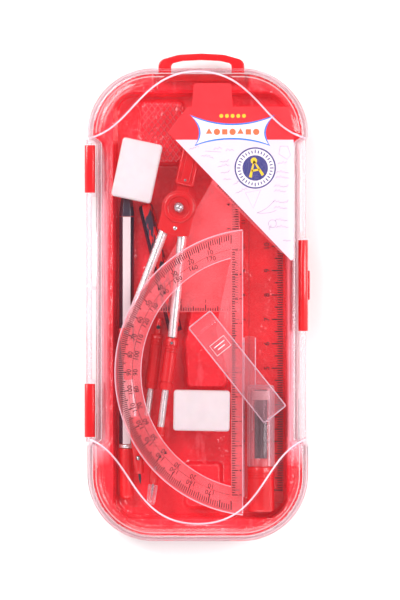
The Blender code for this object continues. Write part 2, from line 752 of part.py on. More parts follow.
def head_outline():
    """The front cover across and down its own axis: a round top and a skirt over the legs."""
    top = arc((0, 0), 7.0, radians(200), radians(-20), 28)
    top = [(x, -y) for x, y in top]
    skirt = [(6.5, 4.6), (6.6, 10.6), (2.4, 11.6), (-2.4, 11.6), (-6.6, 10.2), (-6.5, 4.6)]
    return top + skirt


def make_grip():
    tongue = prism("compass_grip", [head_point(*p) for p in (
        arc((0, 0), 3.4, radians(0), radians(180), 12) + [(-2.2, -8.2), (-2.2, -10.5), (2.2, -10.5), (2.2, -8.2)]
    )], 13.0, 13.7, RED_SOLID)

    def body(d):
        across, top, low = 3.9 - d, -26.5 + d, -9.2 - d
        return [head_point(*p) for p in rounded([
            (-across, low, 1.2), (-across, top, 2.2), (across, top, 2.2), (across, low, 1.2),
        ])]

    combine(tongue, [soft_prism("body", body, 9.8, 15.8, 0.9, RED_SOLID)])
    cut = turned("hole", [(0, 1.5), (8, 1.5)], (*PIVOT, 10), (0, 0, 1), RED_SOLID)
    return combine(tongue, [cut], "DIFFERENCE")


def make_pivot():
    ball = [(9.0 - 2.15 * cos(pi * i / 12), 2.15 * sin(pi * i / 12)) for i in range(4, 12)]
    screw = turned("pivot_screw", [(0, 0.9), (0.3, 1.2), (7.8, 1.2)] + ball,
                   (*PIVOT, 8.1), (0, 0, 1), STEEL)
    nut = turned("pivot_nut", [(0, 1.5), (0, 2.4), (0.3, 2.6), (1.2, 2.6), (1.2, 1.5)],
                 (*PIVOT, 8.2), (0, 0, 1), STEEL, hollow=True, seg=6)
    return screw, nut


def make_upper_leg(side):
    """The bracket in the head, the chrome tube, and the flat tongue that the knee turns on."""
    along, out = leg_axes(side)
    down = (*along, 0)
    flat = (11.0, 11.7) if side == "left" else (12.0, 12.7)
    eye = turned(f"{side}_leg_bracket", [(0, 3.2), (flat[1] - flat[0], 3.2)], (*PIVOT, flat[0]), (0, 0, 1), STEEL)
    arm_out = [leg_point(side, s, off) for s, off in ((0, 1.2), (0, 3.2), (7.9, 3.6), (7.9, 1.2))]
    arm = prism("arm", arm_out, *flat, STEEL)
    stem = turned("stem", [(7.0, 1.8), (8.9, 1.8), (8.9, 1.0), (14.5, 1.0)], (*leg_point(side, 0), LEG_Z), down,
                  STEEL, seg=24)
    combine(eye, [arm, stem])
    combine(eye, [turned("hole", [(0, 1.5), (6, 1.5)], (*PIVOT, 9), (0, 0, 1), STEEL)], "DIFFERENCE")
    end_s = TUBE_END_S[side]
    tube = turned(f"{side}_leg_tube", [
        (TUBE_TOP_S, TUBE_BORE), (TUBE_TOP_S, TUBE_R), (end_s, TUBE_R), (end_s, TUBE_BORE),
    ], (*leg_point(side, 0), LEG_Z), down, CHROME, hollow=True, seg=28)
    tongue_out = [
        leg_point(side, s, LEG_OFFSET + off)
        for s, off in ((46, -0.8), (46, 0.8), (KNEE_S - 2.1, 0.8), (KNEE_S - 1.2, 1.3), (KNEE_S + 0.9, 1.3),
                       (KNEE_S + 1.6, 0.6), (KNEE_S + 1.6, -0.6), (KNEE_S + 0.9, -1.3), (KNEE_S - 1.2, -1.3),
                       (KNEE_S - 2.1, -0.8))
    ]
    tongue = prism(f"{side}_knee_tongue", tongue_out, LEG_Z - 0.5, LEG_Z + 0.5, STEEL)
    knee = leg_point(side, KNEE_S)
    combine(tongue, [turned("hole", [(0, 0.9), (4, 0.9)], (*knee, 9.8), (0, 0, 1), STEEL, seg=12)], "DIFFERENCE")
    for piece in (eye, tube, tongue):
        put_origin(piece, (*PIVOT, LEG_Z))


def make_lower_leg(side):
    """The red knee sleeve with its pin, the lower rod, the tip holder and its clamp screw."""
    knee = leg_point(side, KNEE_S)
    tilt = LOWER_TILT[side]
    down = (sin(tilt), -cos(tilt), 0)
    start = (*knee, LEG_Z)
    low, high = SLEEVE_L
    sleeve = turned(f"{side}_knee_sleeve", [
        (low, 2.5), (low + 0.3, SLEEVE_R), (low + 3.0, SLEEVE_R), (low + 3.2, SLEEVE_R - 0.12), (low + 3.4, SLEEVE_R),
        (high - 3.4, SLEEVE_R), (high - 3.2, SLEEVE_R - 0.12), (high - 3.0, SLEEVE_R), (high - 0.4, SLEEVE_R),
        (high, SLEEVE_R - 0.4),
    ], start, down, RED_SOLID, seg=24)
    bore = turned("bore", [(high - 9, LOWER_ROD_R + GAP), (high + 2, LOWER_ROD_R + GAP)], start, down, RED_SOLID, seg=16)
    across = (cos(tilt), sin(tilt))

    def along(s, off):
        return (knee[0] + down[0] * s + across[0] * off, knee[1] + down[1] * s + across[1] * off)

    slot = prism("slot", [along(-4, -3.5), along(3.0, -3.5), along(3.0, 3.5), along(-4, 3.5)],
                 LEG_Z - 0.5 - GAP, LEG_Z + 0.5 + GAP, RED_SOLID)
    relief = turned("relief", [(-4.5, TUBE_R + GAP), (-0.55, TUBE_R + GAP)], start, down, RED_SOLID, seg=16)
    pin_hole = turned("pin_hole", [(0, 0.9), (8, 0.9)], (*knee, 7.8), (0, 0, 1), RED_SOLID, seg=12)
    combine(sleeve, [bore, slot, relief, pin_hole], "DIFFERENCE")
    pin = turned(f"{side}_knee_pin", [(0, 0.6), (4.8, 0.6)], (*knee, LEG_Z - 2.4), (0, 0, 1), STEEL, seg=16)
    rod = turned(f"{side}_lower_rod", [(high - 8.4, 1.1), (high - 8.1, LOWER_ROD_R), (LOWER_ROD_L, LOWER_ROD_R)],
                 start, down, CHROME, seg=24)
    foot, end = TIP_L
    holder = turned(f"{side}_tip_holder", [
        (foot, 1.75), (foot, 2.0), (foot + 0.5, 2.15), (foot + 15, 2.2), (end - 3.5, 2.15), (end - 0.3, 1.7), (end, 1.4),
        (end, 0.9), (end - 12, 0.9), (end - 12, 0.5), (foot + 3.2, 0.5), (foot + 3.2, 1.75),
    ], start, down, RED_SOLID, hollow=True, seg=20)
    screw_at = along(end - 6.5, 0)
    combine(holder, [turned("hole", [(0, 0.9), (4, 0.9)], (*screw_at, LEG_Z + 0.4), (0, 0, 1), RED_SOLID, seg=12)],
            "DIFFERENCE")
    screw = turned(f"{side}_tip_screw", [(0, 0.5), (1.6, 0.5), (1.6, 0.55), (2.1, 0.55), (2.2, 0.3)],
                   (*screw_at, LEG_Z + 0.65), (0, 0, 1), STEEL, seg=12)
    for piece in (sleeve, pin, rod, holder, screw):
        put_origin(piece, start)
    if side == "right":
        needle = turned("needle", [(end - 10, 0.5), (end + 3.0, 0.5), (end + 6.4, 0.08)], start, down, STEEL, seg=20)
        cap = turned("needle_cap", [
            (end + 0.4, 0.9), (end + 0.4, 1.75), (end + 0.8, 1.95), (end + 7.6, 1.7), (end + 8.6, 1.0), (end + 8.6, 0.4),
            (end + 7.4, 0.4), (end + 6.8, 0.9),
        ], start, down, CLEAR, hollow=True, seg=20)
        put_origin(needle, start)
        put_origin(cap, start)
    else:
        lead = turned("compass_lead", [(end - 10, 0.55), (end + 2.0, 0.55), (end + 4.0, 0.15)], start, down,
                      GRAPHITE, seg=20)
        put_origin(lead, start)


# ---------------------------------------------------------------- build

make_case_base()
make_case_lid()
for clip_name in CLIP_Y:
    make_hinge_clip(clip_name)
make_latch()
make_handle()
make_tray()
make_card()
make_ruler()
make_square_60()
make_square_45()
make_protractor()
make_eraser("eraser_upper", (-24.8, 54.8), (16.5, 24.3), -12, (10.5, 20.1))
make_eraser("eraser_lower", (1.6, -43.2), (23.0, 16.6), -1, (8.6, 18.4))
make_lead_case()
make_lead_tube()
make_pencil()
make_spare_pencil()
make_extension_bar()
make_head()
make_grip()
make_pivot()
for leg in ("left", "right"):
    make_upper_leg(leg)
    make_lower_leg(leg)
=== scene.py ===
"""Looks of the drafting compass set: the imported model's pieces, remade smooth, with their materials."""

import json
from math import atan2, cos, pi, radians, sin, sqrt, tan

import bmesh
import bpy
import numpy as np
from mathutils import Matrix, Vector

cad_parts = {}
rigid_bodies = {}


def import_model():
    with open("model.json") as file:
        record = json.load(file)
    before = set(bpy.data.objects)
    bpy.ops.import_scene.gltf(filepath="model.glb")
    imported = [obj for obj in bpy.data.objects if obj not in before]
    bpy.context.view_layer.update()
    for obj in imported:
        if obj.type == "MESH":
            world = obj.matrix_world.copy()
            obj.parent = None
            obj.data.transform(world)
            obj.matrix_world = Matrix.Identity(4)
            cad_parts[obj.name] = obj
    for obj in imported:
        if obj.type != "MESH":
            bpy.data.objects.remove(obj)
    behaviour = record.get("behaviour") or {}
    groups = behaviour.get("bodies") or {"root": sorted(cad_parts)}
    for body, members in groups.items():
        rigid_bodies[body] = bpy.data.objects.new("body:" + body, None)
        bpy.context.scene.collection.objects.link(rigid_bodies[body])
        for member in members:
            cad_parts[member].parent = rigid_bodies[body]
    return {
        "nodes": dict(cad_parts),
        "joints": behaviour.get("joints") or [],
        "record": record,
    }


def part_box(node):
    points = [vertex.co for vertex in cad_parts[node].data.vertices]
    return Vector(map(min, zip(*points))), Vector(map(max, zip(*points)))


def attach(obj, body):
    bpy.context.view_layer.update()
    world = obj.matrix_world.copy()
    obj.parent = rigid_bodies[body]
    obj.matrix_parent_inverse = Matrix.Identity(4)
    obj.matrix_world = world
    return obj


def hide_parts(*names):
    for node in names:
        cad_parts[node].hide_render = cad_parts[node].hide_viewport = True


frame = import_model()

for leftover in [o for o in bpy.data.objects if o.name in ("Cube", "Light", "Camera")]:
    bpy.data.objects.remove(leftover)

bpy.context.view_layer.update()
MM = 0.001
BODIES = frame["record"]["behaviour"]["bodies"]
BODY_OF = {node: body for body, nodes in BODIES.items() for node in nodes}
SLOT_OF = {part["node"]: part["material_slot"] for part in frame["record"]["subparts"]}
JOINTS = {joint["name"]: joint for joint in frame["joints"]}


def span(node):
    """A node's lowest and highest corners in millimetres."""
    low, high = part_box(node)
    return [v / MM for v in low], [v / MM for v in high]


def pivot_of(joint):
    return [v / MM for v in JOINTS[joint]["pos_m"]]


# ---------------------------------------------------------------- materials

class Nodes:
    """Short names for the shader nodes that the materials below are made of."""

    def __init__(self, name):
        self.material = bpy.data.materials.new(name)
        self.material.use_nodes = True
        self.tree = self.material.node_tree
        self.shader = self.tree.nodes["Principled BSDF"]
        self.output = self.tree.nodes["Material Output"]
        coords = self.tree.nodes.new("ShaderNodeTexCoord")
        self.place = coords.outputs["Object"]

    def link(self, a, b):
        self.tree.links.new(a, b)

    def add(self, kind, **values):
        made = self.tree.nodes.new(kind)
        for key, value in values.items():
            setattr(made, key, value)
        return made

    def noise(self, scale, detail=3.0, rough=0.5, stretch=None):
        made = self.add("ShaderNodeTexNoise")
        made.inputs["Scale"].default_value = scale
        made.inputs["Detail"].default_value = detail
        made.inputs["Roughness"].default_value = rough
        self.link(self.stretched(stretch) if stretch else self.place, made.inputs["Vector"])
        return made.outputs["Fac"]

    def stretched(self, stretch):
        mapping = self.add("ShaderNodeMapping")
        mapping.inputs["Scale"].default_value = stretch
        self.link(self.place, mapping.inputs["Vector"])
        return mapping.outputs["Vector"]

    def ramp(self, fac, low, high, a, b):
        made = self.add("ShaderNodeMapRange")
        made.inputs["From Min"].default_value = low
        made.inputs["From Max"].default_value = high
        made.inputs["To Min"].default_value = a
        made.inputs["To Max"].default_value = b
        self.link(fac, made.inputs["Value"])
        return made.outputs["Result"]

    def mix(self, fac, a, b):
        made = self.add("ShaderNodeMix", data_type="RGBA")
        self.put(fac, made.inputs["Factor"])
        self.put(a, made.inputs[6])
        self.put(b, made.inputs[7])
        return made.outputs[2]

    def between(self, fac, low, high, a, b):
        """Colour a where fac is below low, b above high, and a blend of the two in between."""
        return self.mix(self.ramp(fac, low, high, 0, 1), a, b)

    def math(self, operation, a, b=0.0):
        made = self.add("ShaderNodeMath", operation=operation)
        self.put(a, made.inputs[0])
        self.put(b, made.inputs[1])
        return made.outputs[0]

    def put(self, value, socket):
        if isinstance(value, bpy.types.NodeSocket):
            self.link(value, socket)
        elif isinstance(value, tuple):
            socket.default_value = (*value, 1.0)
        else:
            socket.default_value = value

    def bump(self, height, strength, distance, normal=None):
        made = self.add("ShaderNodeBump")
        made.inputs["Strength"].default_value = strength
        made.inputs["Distance"].default_value = distance
        self.link(height, made.inputs["Height"])
        if normal:
            self.link(normal, made.inputs["Normal"])
        return made.outputs["Normal"]

    def set(self, **values):
        for key, value in values.items():
            self.put(value, self.shader.inputs[key.replace("_", " ")])
        return self

    def mix_shaders(self, fac, a, b):
        made = self.add("ShaderNodeMixShader")
        self.put(fac, made.inputs[0])
        self.link(a, made.inputs[1])
        self.link(b, made.inputs[2])
        return made.outputs[0]

    def scatter(self, depth, radius=None):
        """How far light spreads under the surface, in metres, and how much of each colour."""
        self.shader.inputs["Subsurface Scale"].default_value = depth
        if radius:
            self.shader.inputs["Subsurface Radius"].default_value = radius


def plastic(name, colour, deep, rough=0.25, grain=0.05, subsurface=0.0, coat=0.0):
    """Moulded opaque plastic: slow colour drift, fine grain, a few wear marks in its gloss."""
    n = Nodes(name)
    drift = n.noise(90, 2)
    n.set(Base_Color=n.between(drift, 0.35, 0.65, colour, deep))
    marks = n.noise(1400, 4, 0.65)
    n.set(Roughness=n.ramp(marks, 0.3, 0.75, rough * 0.75, rough * 1.5))
    n.set(Normal=n.bump(n.noise(5200, 3), grain, 0.0001, n.bump(n.noise(160, 2), 0.1, 0.0006)))
    n.set(Subsurface_Weight=subsurface, Coat_Weight=coat, Coat_Roughness=0.08)
    n.scatter(0.002, (1.0, 0.3, 0.25))
    return n.material


def metal(name, colour, rough, stretch, metallic=1.0):
    """Plated metal with faint drawing lines along its length."""
    n = Nodes(name)
    lines = n.noise(1.0, 4, 0.6, stretch)
    n.set(Base_Color=n.between(lines, 0.3, 0.7, colour, tuple(c * 0.93 for c in colour)))
    n.set(Metallic=metallic, Roughness=n.ramp(lines, 0.3, 0.7, rough * 0.7, rough * 1.7))
    n.set(Normal=n.bump(lines, 0.025, 0.00002))
    return n.material


def clear(name, tint, milk_and_edge_light, veil, mirror=1.0, wave=0.35, edge_light_amount=0.4, painted_light=0.0):
    """A clear wall: light passes straight through, with mirror gloss. At grazing edges, and over the veil share, it
    shows a pink-white body that is painted light standing in for light carried in the walls; the body can also glow, as
    painted light.
    """
    n = Nodes(name)
    ripple = n.bump(n.noise(45, 2, 0.4), wave, 0.001)
    fine = n.bump(n.noise(2600, 3), 0.03, 0.00005, ripple)
    fresnel = n.add("ShaderNodeFresnel")
    fresnel.inputs["IOR"].default_value = 1.5
    n.link(fine, fresnel.inputs["Normal"])
    facing = n.add("ShaderNodeLayerWeight")
    facing.inputs["Blend"].default_value = 0.5
    through = n.add("ShaderNodeBsdfTransparent")
    through.inputs["Color"].default_value = (*tint, 1.0)
    n.set(Base_Color=(1.0, 0.98, 1.0), Metallic=1.0, Normal=fine)
    n.set(Roughness=n.ramp(n.noise(700, 4, 0.7), 0.3, 0.8, 0.02, 0.12))
    reflected = n.math("MULTIPLY", fresnel.outputs[0], mirror)
    gloss = n.mix_shaders(reflected, through.outputs[0], n.shader.outputs[0])
    # Painted light: this body's pink-white colour shows at grazing edges and over the veil share, standing in for light
    # carried in the walls; its emission is painted light too.
    body = n.add("ShaderNodeBsdfPrincipled")
    n.put(milk_and_edge_light, body.inputs["Base Color"])
    body.inputs["Roughness"].default_value = 0.35
    n.put(milk_and_edge_light, body.inputs["Emission Color"])
    body.inputs["Emission Strength"].default_value = painted_light
    edge = n.math("POWER", facing.outputs["Facing"], 3.0)
    edge_light_share = n.math("MULTIPLY", edge, edge_light_amount)
    share = n.math("ADD", edge_light_share, n.ramp(n.noise(60, 3), 0.3, 0.7, veil * 0.7, veil * 1.3))
    whole = n.mix_shaders(share, gloss, body.outputs[0])
    n.link(whole, n.output.inputs["Surface"])
    return n.material


def tray_plastic(pad):
    """Thin vacuum-formed red sheet: deep and bright patches, salmon streaks painted in as highlights, pale pink-white
    painted highlights on the side flanges, a quilted pad, and a faint red glow painted in for light passing through.
    """
    n = Nodes("vacuum_formed_red")
    cloud = n.noise(42, 4, 0.6)
    highlight_streak = n.noise(1.0, 4, 0.6, (190, 60, 190))
    base = n.between(cloud, 0.36, 0.64, (0.66, 0.004, 0.014), (0.97, 0.022, 0.04))
    # Painted highlight: salmon streaks stand in for wavy reflections on the glossy sheet.
    base = n.mix(n.ramp(highlight_streak, 0.58, 0.76, 0, 0.65), base, (1.0, 0.16, 0.19))
    parts = n.add("ShaderNodeSeparateXYZ")
    n.link(n.place, parts.inputs[0])
    x, y = parts.outputs["X"], parts.outputs["Y"]
    period = 2.5 * MM
    ridges = []
    for lean in (0.75, -0.75):
        slanted = n.math("ADD", x, n.math("MULTIPLY", y, lean))
        ridges.append(n.math("ABSOLUTE", n.math("SINE", n.math("MULTIPLY", slanted, pi / period))))
    quilt = n.math("MINIMUM", *ridges)
    inside = 1.0
    for value, (low, high) in ((x, pad[0]), (y, pad[1])):
        inside = n.math("MULTIPLY", inside, n.math("GREATER_THAN", value, low * MM))
        inside = n.math("MULTIPLY", inside, n.math("LESS_THAN", value, high * MM))
    line = n.math("MULTIPLY", n.ramp(quilt, 0.1, 0.4, 1.0, 0.0), inside)
    base = n.mix(n.math("MULTIPLY", line, 0.55), base, (1.0, 0.2, 0.22))
    # Painted highlight: the side flanges turn pale pink-white in streaks, standing in for light gathered in the sheet's
    # turned-down sides.
    beside = n.ramp(n.math("ABSOLUTE", x), 35.6 * MM, 38.2 * MM, 0, 1)
    along = n.ramp(n.math("ABSOLUTE", y), 58 * MM, 66 * MM, 1, 0)
    flange = n.math("MULTIPLY", beside, along)
    painted_light = n.math("MULTIPLY", flange, n.ramp(n.noise(1.0, 3, 0.6, (700, 14, 700)), 0.35, 0.65, 0.35, 0.95))
    n.set(Base_Color=n.mix(painted_light, base, (1.0, 0.62, 0.70)))
    n.set(Roughness=n.ramp(n.noise(900, 4, 0.6), 0.3, 0.8, 0.08, 0.24))
    wavy = n.bump(n.noise(62, 4, 0.55), 0.9, 0.004)
    quilted = n.bump(line, 0.9, 0.0006, wavy)
    n.set(Normal=n.bump(n.noise(1500, 3), 0.05, 0.0001, quilted))
    n.set(Coat_Weight=0.8, Coat_Roughness=0.05, Subsurface_Weight=0.15)
    n.scatter(0.003, (1.0, 0.15, 0.1))
    # Painted light: a faint red emission stands in for light passing through the translucent sheet.
    n.set(Emission_Color=(0.9, 0.012, 0.03), Emission_Strength=0.12)
    return n.material


def marbled(name, dark, bright):
    """Lacquer in two colours that run into one another along the stick."""
    n = Nodes(name)
    swirl = n.noise(1.0, 3, 0.5, (420, 130, 420))
    n.set(Base_Color=n.between(swirl, 0.48, 0.52, dark, bright))
    n.set(Roughness=n.ramp(n.noise(900, 3), 0.3, 0.7, 0.12, 0.25), Coat_Weight=0.8)
    n.set(Normal=n.bump(swirl, 0.1, 0.0003))
    return n.material


def vinyl():
    """White eraser vinyl: faint mottling, soft scuffs and rounded dents."""
    n = Nodes("eraser_vinyl")
    n.set(Base_Color=n.between(n.noise(260, 4), 0.35, 0.7, (0.76, 0.75, 0.75), (0.71, 0.70, 0.70)))
    n.set(Roughness=n.ramp(n.noise(1200, 3), 0.3, 0.7, 0.5, 0.7), Subsurface_Weight=0.2)
    n.scatter(0.0015)
    n.set(Normal=n.bump(n.noise(3800, 4), 0.12, 0.0001, n.bump(n.noise(240, 3), 0.2, 0.0004)))
    return n.material


def card_stock(split_y):
    """Coated card, red above the split and white below, with paper tooth and dot grain in the ink."""
    n = Nodes("printed_card")
    parts = n.add("ShaderNodeSeparateXYZ")
    n.link(n.place, parts.inputs[0])
    above = n.math("GREATER_THAN", parts.outputs["Y"], split_y)
    grain = n.noise(5000, 2)
    red = n.between(grain, 0.3, 0.7, (0.84, 0.028, 0.04), (0.78, 0.02, 0.03))
    white = n.between(grain, 0.3, 0.7, (0.86, 0.82, 0.89), (0.81, 0.77, 0.85))
    n.set(Base_Color=n.mix(above, white, red), Roughness=n.ramp(n.noise(400, 3), 0.3, 0.7, 0.35, 0.5))
    n.set(Normal=n.bump(n.noise(2600, 4), 0.08, 0.0001, n.bump(n.noise(50, 2), 0.15, 0.001)))
    return n.material


def ink(name, colour, worn=0.15):
    """Screen-printed ink: slightly patchy cover, semi-matt."""
    n = Nodes(name)
    patch = n.noise(2400, 4, 0.6)
    lighter = tuple(min(1.0, c + worn) for c in colour)
    n.set(Base_Color=n.between(patch, 0.45, 0.75, colour, lighter))
    n.set(Roughness=n.ramp(patch, 0.3, 0.7, 0.35, 0.6), Normal=n.bump(patch, 0.05, 0.00003))
    return n.material


def graphite():
    n = Nodes("graphite")
    flake = n.noise(1.0, 4, 0.6, (3000, 300, 3000))
    n.set(Base_Color=n.between(flake, 0.3, 0.7, (0.012, 0.012, 0.015), (0.05, 0.05, 0.06)))
    n.set(Roughness=n.ramp(flake, 0.3, 0.7, 0.25, 0.5), Metallic=0.3, Normal=n.bump(flake, 0.1, 0.00005))
    return n.material


def timber():
    n = Nodes("cedar")
    rings = n.noise(1.0, 5, 0.6, (1500, 90, 1500))
    n.set(Base_Color=n.between(rings, 0.3, 0.7, (0.55, 0.33, 0.17), (0.72, 0.5, 0.3)))
    n.set(Roughness=n.ramp(rings, 0.3, 0.7, 0.55, 0.75), Normal=n.bump(rings, 0.2, 0.0001))
    return n.material


def band_paper():
    n = Nodes("paper_band")
    fibre = n.noise(2500, 5, 0.7)
    n.set(Base_Color=n.between(fibre, 0.3, 0.7, (0.9, 0.82, 0.74), (0.78, 0.66, 0.58)))
    n.set(Roughness=n.ramp(fibre, 0.3, 0.7, 0.6, 0.8), Normal=n.bump(fibre, 0.15, 0.0001))
    return n.material


def floor_paper():
    n = Nodes("backdrop_paper")
    tooth = n.noise(400, 4, 0.6)
    n.set(Base_Color=n.mix(tooth, (0.8, 0.8, 0.805), (0.82, 0.82, 0.82)), Roughness=0.8)
    n.set(Normal=n.bump(tooth, 0.03, 0.0002))
    return n.material


PRINT_SPLIT_Y = 67.2 * MM
# The pink-white second colour of each clear material is painted light, shown at its grazing edges; TINTED's larger veil
# share and its glow brighten it as painted light.
SHELL = clear("clear_styrene", (0.994, 0.972, 0.982), (0.92, 0.22, 0.34), 0.004, mirror=0.55, edge_light_amount=0.45)
CLEAR_SMALL = clear("clear_acrylic", (0.995, 0.95, 0.96), (1.0, 0.66, 0.72), 0.06, mirror=0.6, wave=0.1, edge_light_amount=0.8)
TINTED = clear("tinted_styrene", (1.0, 0.9, 0.91), (1.0, 0.28, 0.31), 0.2, mirror=0.25, wave=0.12, edge_light_amount=0.9, painted_light=0.35)
RULER_CLEAR = clear("ruler_styrene", (1.0, 0.9, 0.9), (1.0, 0.25, 0.27), 0.04, mirror=0.5, wave=0.1, edge_light_amount=0.9)
# Painted highlight: a milky pink-white for thin beads laid along edges, standing in for the bright lines that light
# draws on them.
EDGE_HIGHLIGHT = clear("painted_highlight_bead", (1.0, 0.88, 0.94), (0.98, 0.82, 0.92), 0.5, mirror=1.0, wave=0.1, edge_light_amount=0.9)
RED = plastic("bright_red_moulding", (0.72, 0.008, 0.013), (0.62, 0.005, 0.01), 0.2, subsurface=0.06, coat=0.3)
QUILTED_PAD = ((-23.0, -6.4), (58.4, 82.8))
TRAY = tray_plastic(QUILTED_PAD)
MARBLED = marbled("marbled_lacquer", (0.05, 0.03, 0.06), (0.85, 0.015, 0.02))
VINYL = vinyl()
CARD = card_stock(PRINT_SPLIT_Y)
CHROME = metal("chrome_tube", (0.93, 0.91, 0.91), 0.22, (2600, 140, 2600), 0.75)
STEEL = metal("bright_steel", (0.6, 0.59, 0.61), 0.2, (900, 900, 900))
FOIL = metal("silver_foil", (0.82, 0.74, 0.74), 0.4, (3000, 60, 3000), 0.35)
LACQUER = plastic("dark_lacquer", (0.045, 0.035, 0.06), (0.025, 0.02, 0.035), 0.16, coat=0.8)
GRAPHITE = graphite()
PAPER = band_paper()
WOOD = timber()
BLUE_INK = ink("blue_ink", (0.0, 0.22, 0.85))
NAVY_INK = ink("navy_ink", (0.02, 0.03, 0.22))
WHITE_INK = ink("white_ink", (0.95, 0.95, 0.97), 0.02)
YELLOW_INK = ink("yellow_ink", (0.98, 0.72, 0.03), 0.03)
ORANGE_INK = ink("orange_ink", (0.98, 0.18, 0.05), 0.05)
PALE_INK = ink("pale_lilac_ink", (0.42, 0.37, 0.5))
DARK_SCALE = ink("dark_scale_ink", (0.022, 0.002, 0.006), 0.03)


# ---------------------------------------------------------------- outlines and meshes

UP = (0, 0, 1)
SMOOTH_ANGLE = 38
BEVEL_SMOOTH_ANGLE = 60

def arc(centre, radius, start, end, steps):
    turn = (end - start) / steps
    return [
        (centre[0] + radius * cos(start + turn * i), centre[1] + radius * sin(start + turn * i))
        for i in range(steps + 1)
    ]


def rounded(corners, steps=6):
    """A closed outline through (x, y, radius) corners; a big radius gets more steps."""
    points = []
    count = len(corners)
    for i, (x, y, radius) in enumerate(corners):
        here = Vector((x, y))
        before = (Vector(corners[i - 1][:2]) - here).normalized()
        after = (Vector(corners[(i + 1) % count][:2]) - here).normalized()
        half = before.angle(after) / 2
        if radius <= 0:
            points.append((x, y))
            continue
        centre = here + (before + after).normalized() * (radius / sin(half))
        first = here + before * (radius / tan(half)) - centre
        last = here + after * (radius / tan(half)) - centre
        start = atan2(first.y, first.x)
        turn = (atan2(last.y, last.x) - start + pi) % (2 * pi) - pi
        points += arc(centre, radius, start, start + turn, steps * 5 if radius > 15 else steps)
    return points


def box_outline(x0, x1, y0, y1, radius, steps=6):
    return rounded([(x0, y0, radius), (x1, y0, radius), (x1, y1, radius), (x0, y1, radius)], steps)


def bezier(p0, p1, p2, p3, steps):
    points = []
    for i in range(steps + 1):
        t = i / steps
        weights = ((1 - t) ** 3, 3 * t * (1 - t) ** 2, 3 * t * t * (1 - t), t ** 3)
        points.append(tuple(sum(w * p[k] for w, p in zip(weights, (p0, p1, p2, p3))) for k in (0, 1)))
    return points


def finish_mesh(name, bm, mats, sharp=SMOOTH_ANGLE):
    """A bmesh in millimetres becomes an object in metres."""
    bmesh.ops.remove_doubles(bm, verts=bm.verts, dist=1e-4)
    bmesh.ops.scale(bm, vec=(MM, MM, MM), verts=bm.verts)
    mesh = bpy.data.meshes.new(name)
    bm.to_mesh(mesh)
    bm.free()
    made = bpy.data.objects.new(name, mesh)
    bpy.context.scene.collection.objects.link(made)
    for mat in mats if isinstance(mats, (list, tuple)) else [mats]:
        mesh.materials.append(mat)
    mesh.shade_smooth()
    mesh.set_sharp_from_angle(angle=radians(sharp))
    return made


def rings_solid(name, rings, mats, closed=False, sharp=SMOOTH_ANGLE):
    bm = bmesh.new()
    loops = [[bm.verts.new(p) for p in ring] for ring in rings]
    pairs = list(zip(loops, loops[1:]))
    if closed:
        pairs.append((loops[-1], loops[0]))
    for low, high in pairs:
        for i in range(len(low)):
            j = (i + 1) % len(low)
            bm.faces.new((low[i], low[j], high[j], high[i]))
    if not closed:
        bm.faces.new(list(reversed(loops[0])))
        bm.faces.new(loops[-1])
    bmesh.ops.recalc_face_normals(bm, faces=bm.faces)
    return finish_mesh(name, bm, mats, sharp)


def level(outline, z):
    return [(x, y, z) for x, y in outline]


def prism(name, outline, z0, z1, mats, top=None):
    return rings_solid(name, [level(outline, z0), level(top or outline, z1)], mats)


def soft_prism(name, shrink, z0, z1, edge, mats, steps=4, sharp=50):
    """A prism with rounded edges; shrink(d) gives its outline moved in by d."""
    rings = []
    for i in range(steps + 1):
        a = (pi / 2) * i / steps
        rings.append(level(shrink(edge * (1 - sin(a))), z0 + edge * (1 - cos(a))))
    for i in range(steps + 1):
        a = (pi / 2) * i / steps
        rings.append(level(shrink(edge * (1 - cos(a))), z1 - edge * (1 - sin(a))))
    return rings_solid(name, rings, mats, sharp=sharp)


def turned(name, profile, start, direction, mats, hollow=False, seg=64, sharp=SMOOTH_ANGLE):
    """Turn (distance, radius) points about a line; hollow means that the points are a closed loop."""
    along = Vector(direction).normalized()
    side = along.cross(Vector((0, 0, 1)))
    side = side.normalized() if side.length > 1e-6 else Vector((1, 0, 0))
    up = side.cross(along)
    base = Vector(start)
    rings = [
        [base + along * d + (side * cos(2 * pi * i / seg) + up * sin(2 * pi * i / seg)) * r for i in range(seg)]
        for d, r in profile
    ]
    return rings_solid(name, rings, mats, closed=hollow, sharp=sharp)


def combine(target, tools, operation="UNION", sharp=SMOOTH_ANGLE):
    for tool in tools:
        modifier = target.modifiers.new("cut", "BOOLEAN")
        modifier.operation = operation
        modifier.solver = "EXACT"
        modifier.object = tool
        graph = bpy.context.evaluated_depsgraph_get()
        mesh = bpy.data.meshes.new_from_object(target.evaluated_get(graph))
        target.modifiers.clear()
        target.data = mesh
        bpy.data.objects.remove(tool)
    target.data.shade_smooth()
    target.data.set_sharp_from_angle(angle=radians(sharp))
    return target


def bevelled(target, width, segments=2, angle=40):
    """Round every sharp edge by width millimetres, and keep the result in the mesh."""
    modifier = target.modifiers.new("edge", "BEVEL")
    modifier.width = width * MM
    modifier.segments = segments
    modifier.limit_method = "ANGLE"
    modifier.angle_limit = radians(angle)
    modifier.harden_normals = False
    graph = bpy.context.evaluated_depsgraph_get()
    mesh = bpy.data.meshes.new_from_object(target.evaluated_get(graph))
    target.modifiers.clear()
    target.data = mesh
    mesh.shade_smooth()
    mesh.set_sharp_from_angle(angle=radians(BEVEL_SMOOTH_ANGLE))
    return target


def stands_for(made, *nodes):
    """The piece replaces these nodes and rides where the first one rides."""
    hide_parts(*nodes)
    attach(made, BODY_OF[nodes[0]])
    return made


def detail(made, node, slot=None):
    """An extra piece on a node: it rides with it."""
    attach(made, BODY_OF[node])
    slot or SLOT_OF[node]
    return made


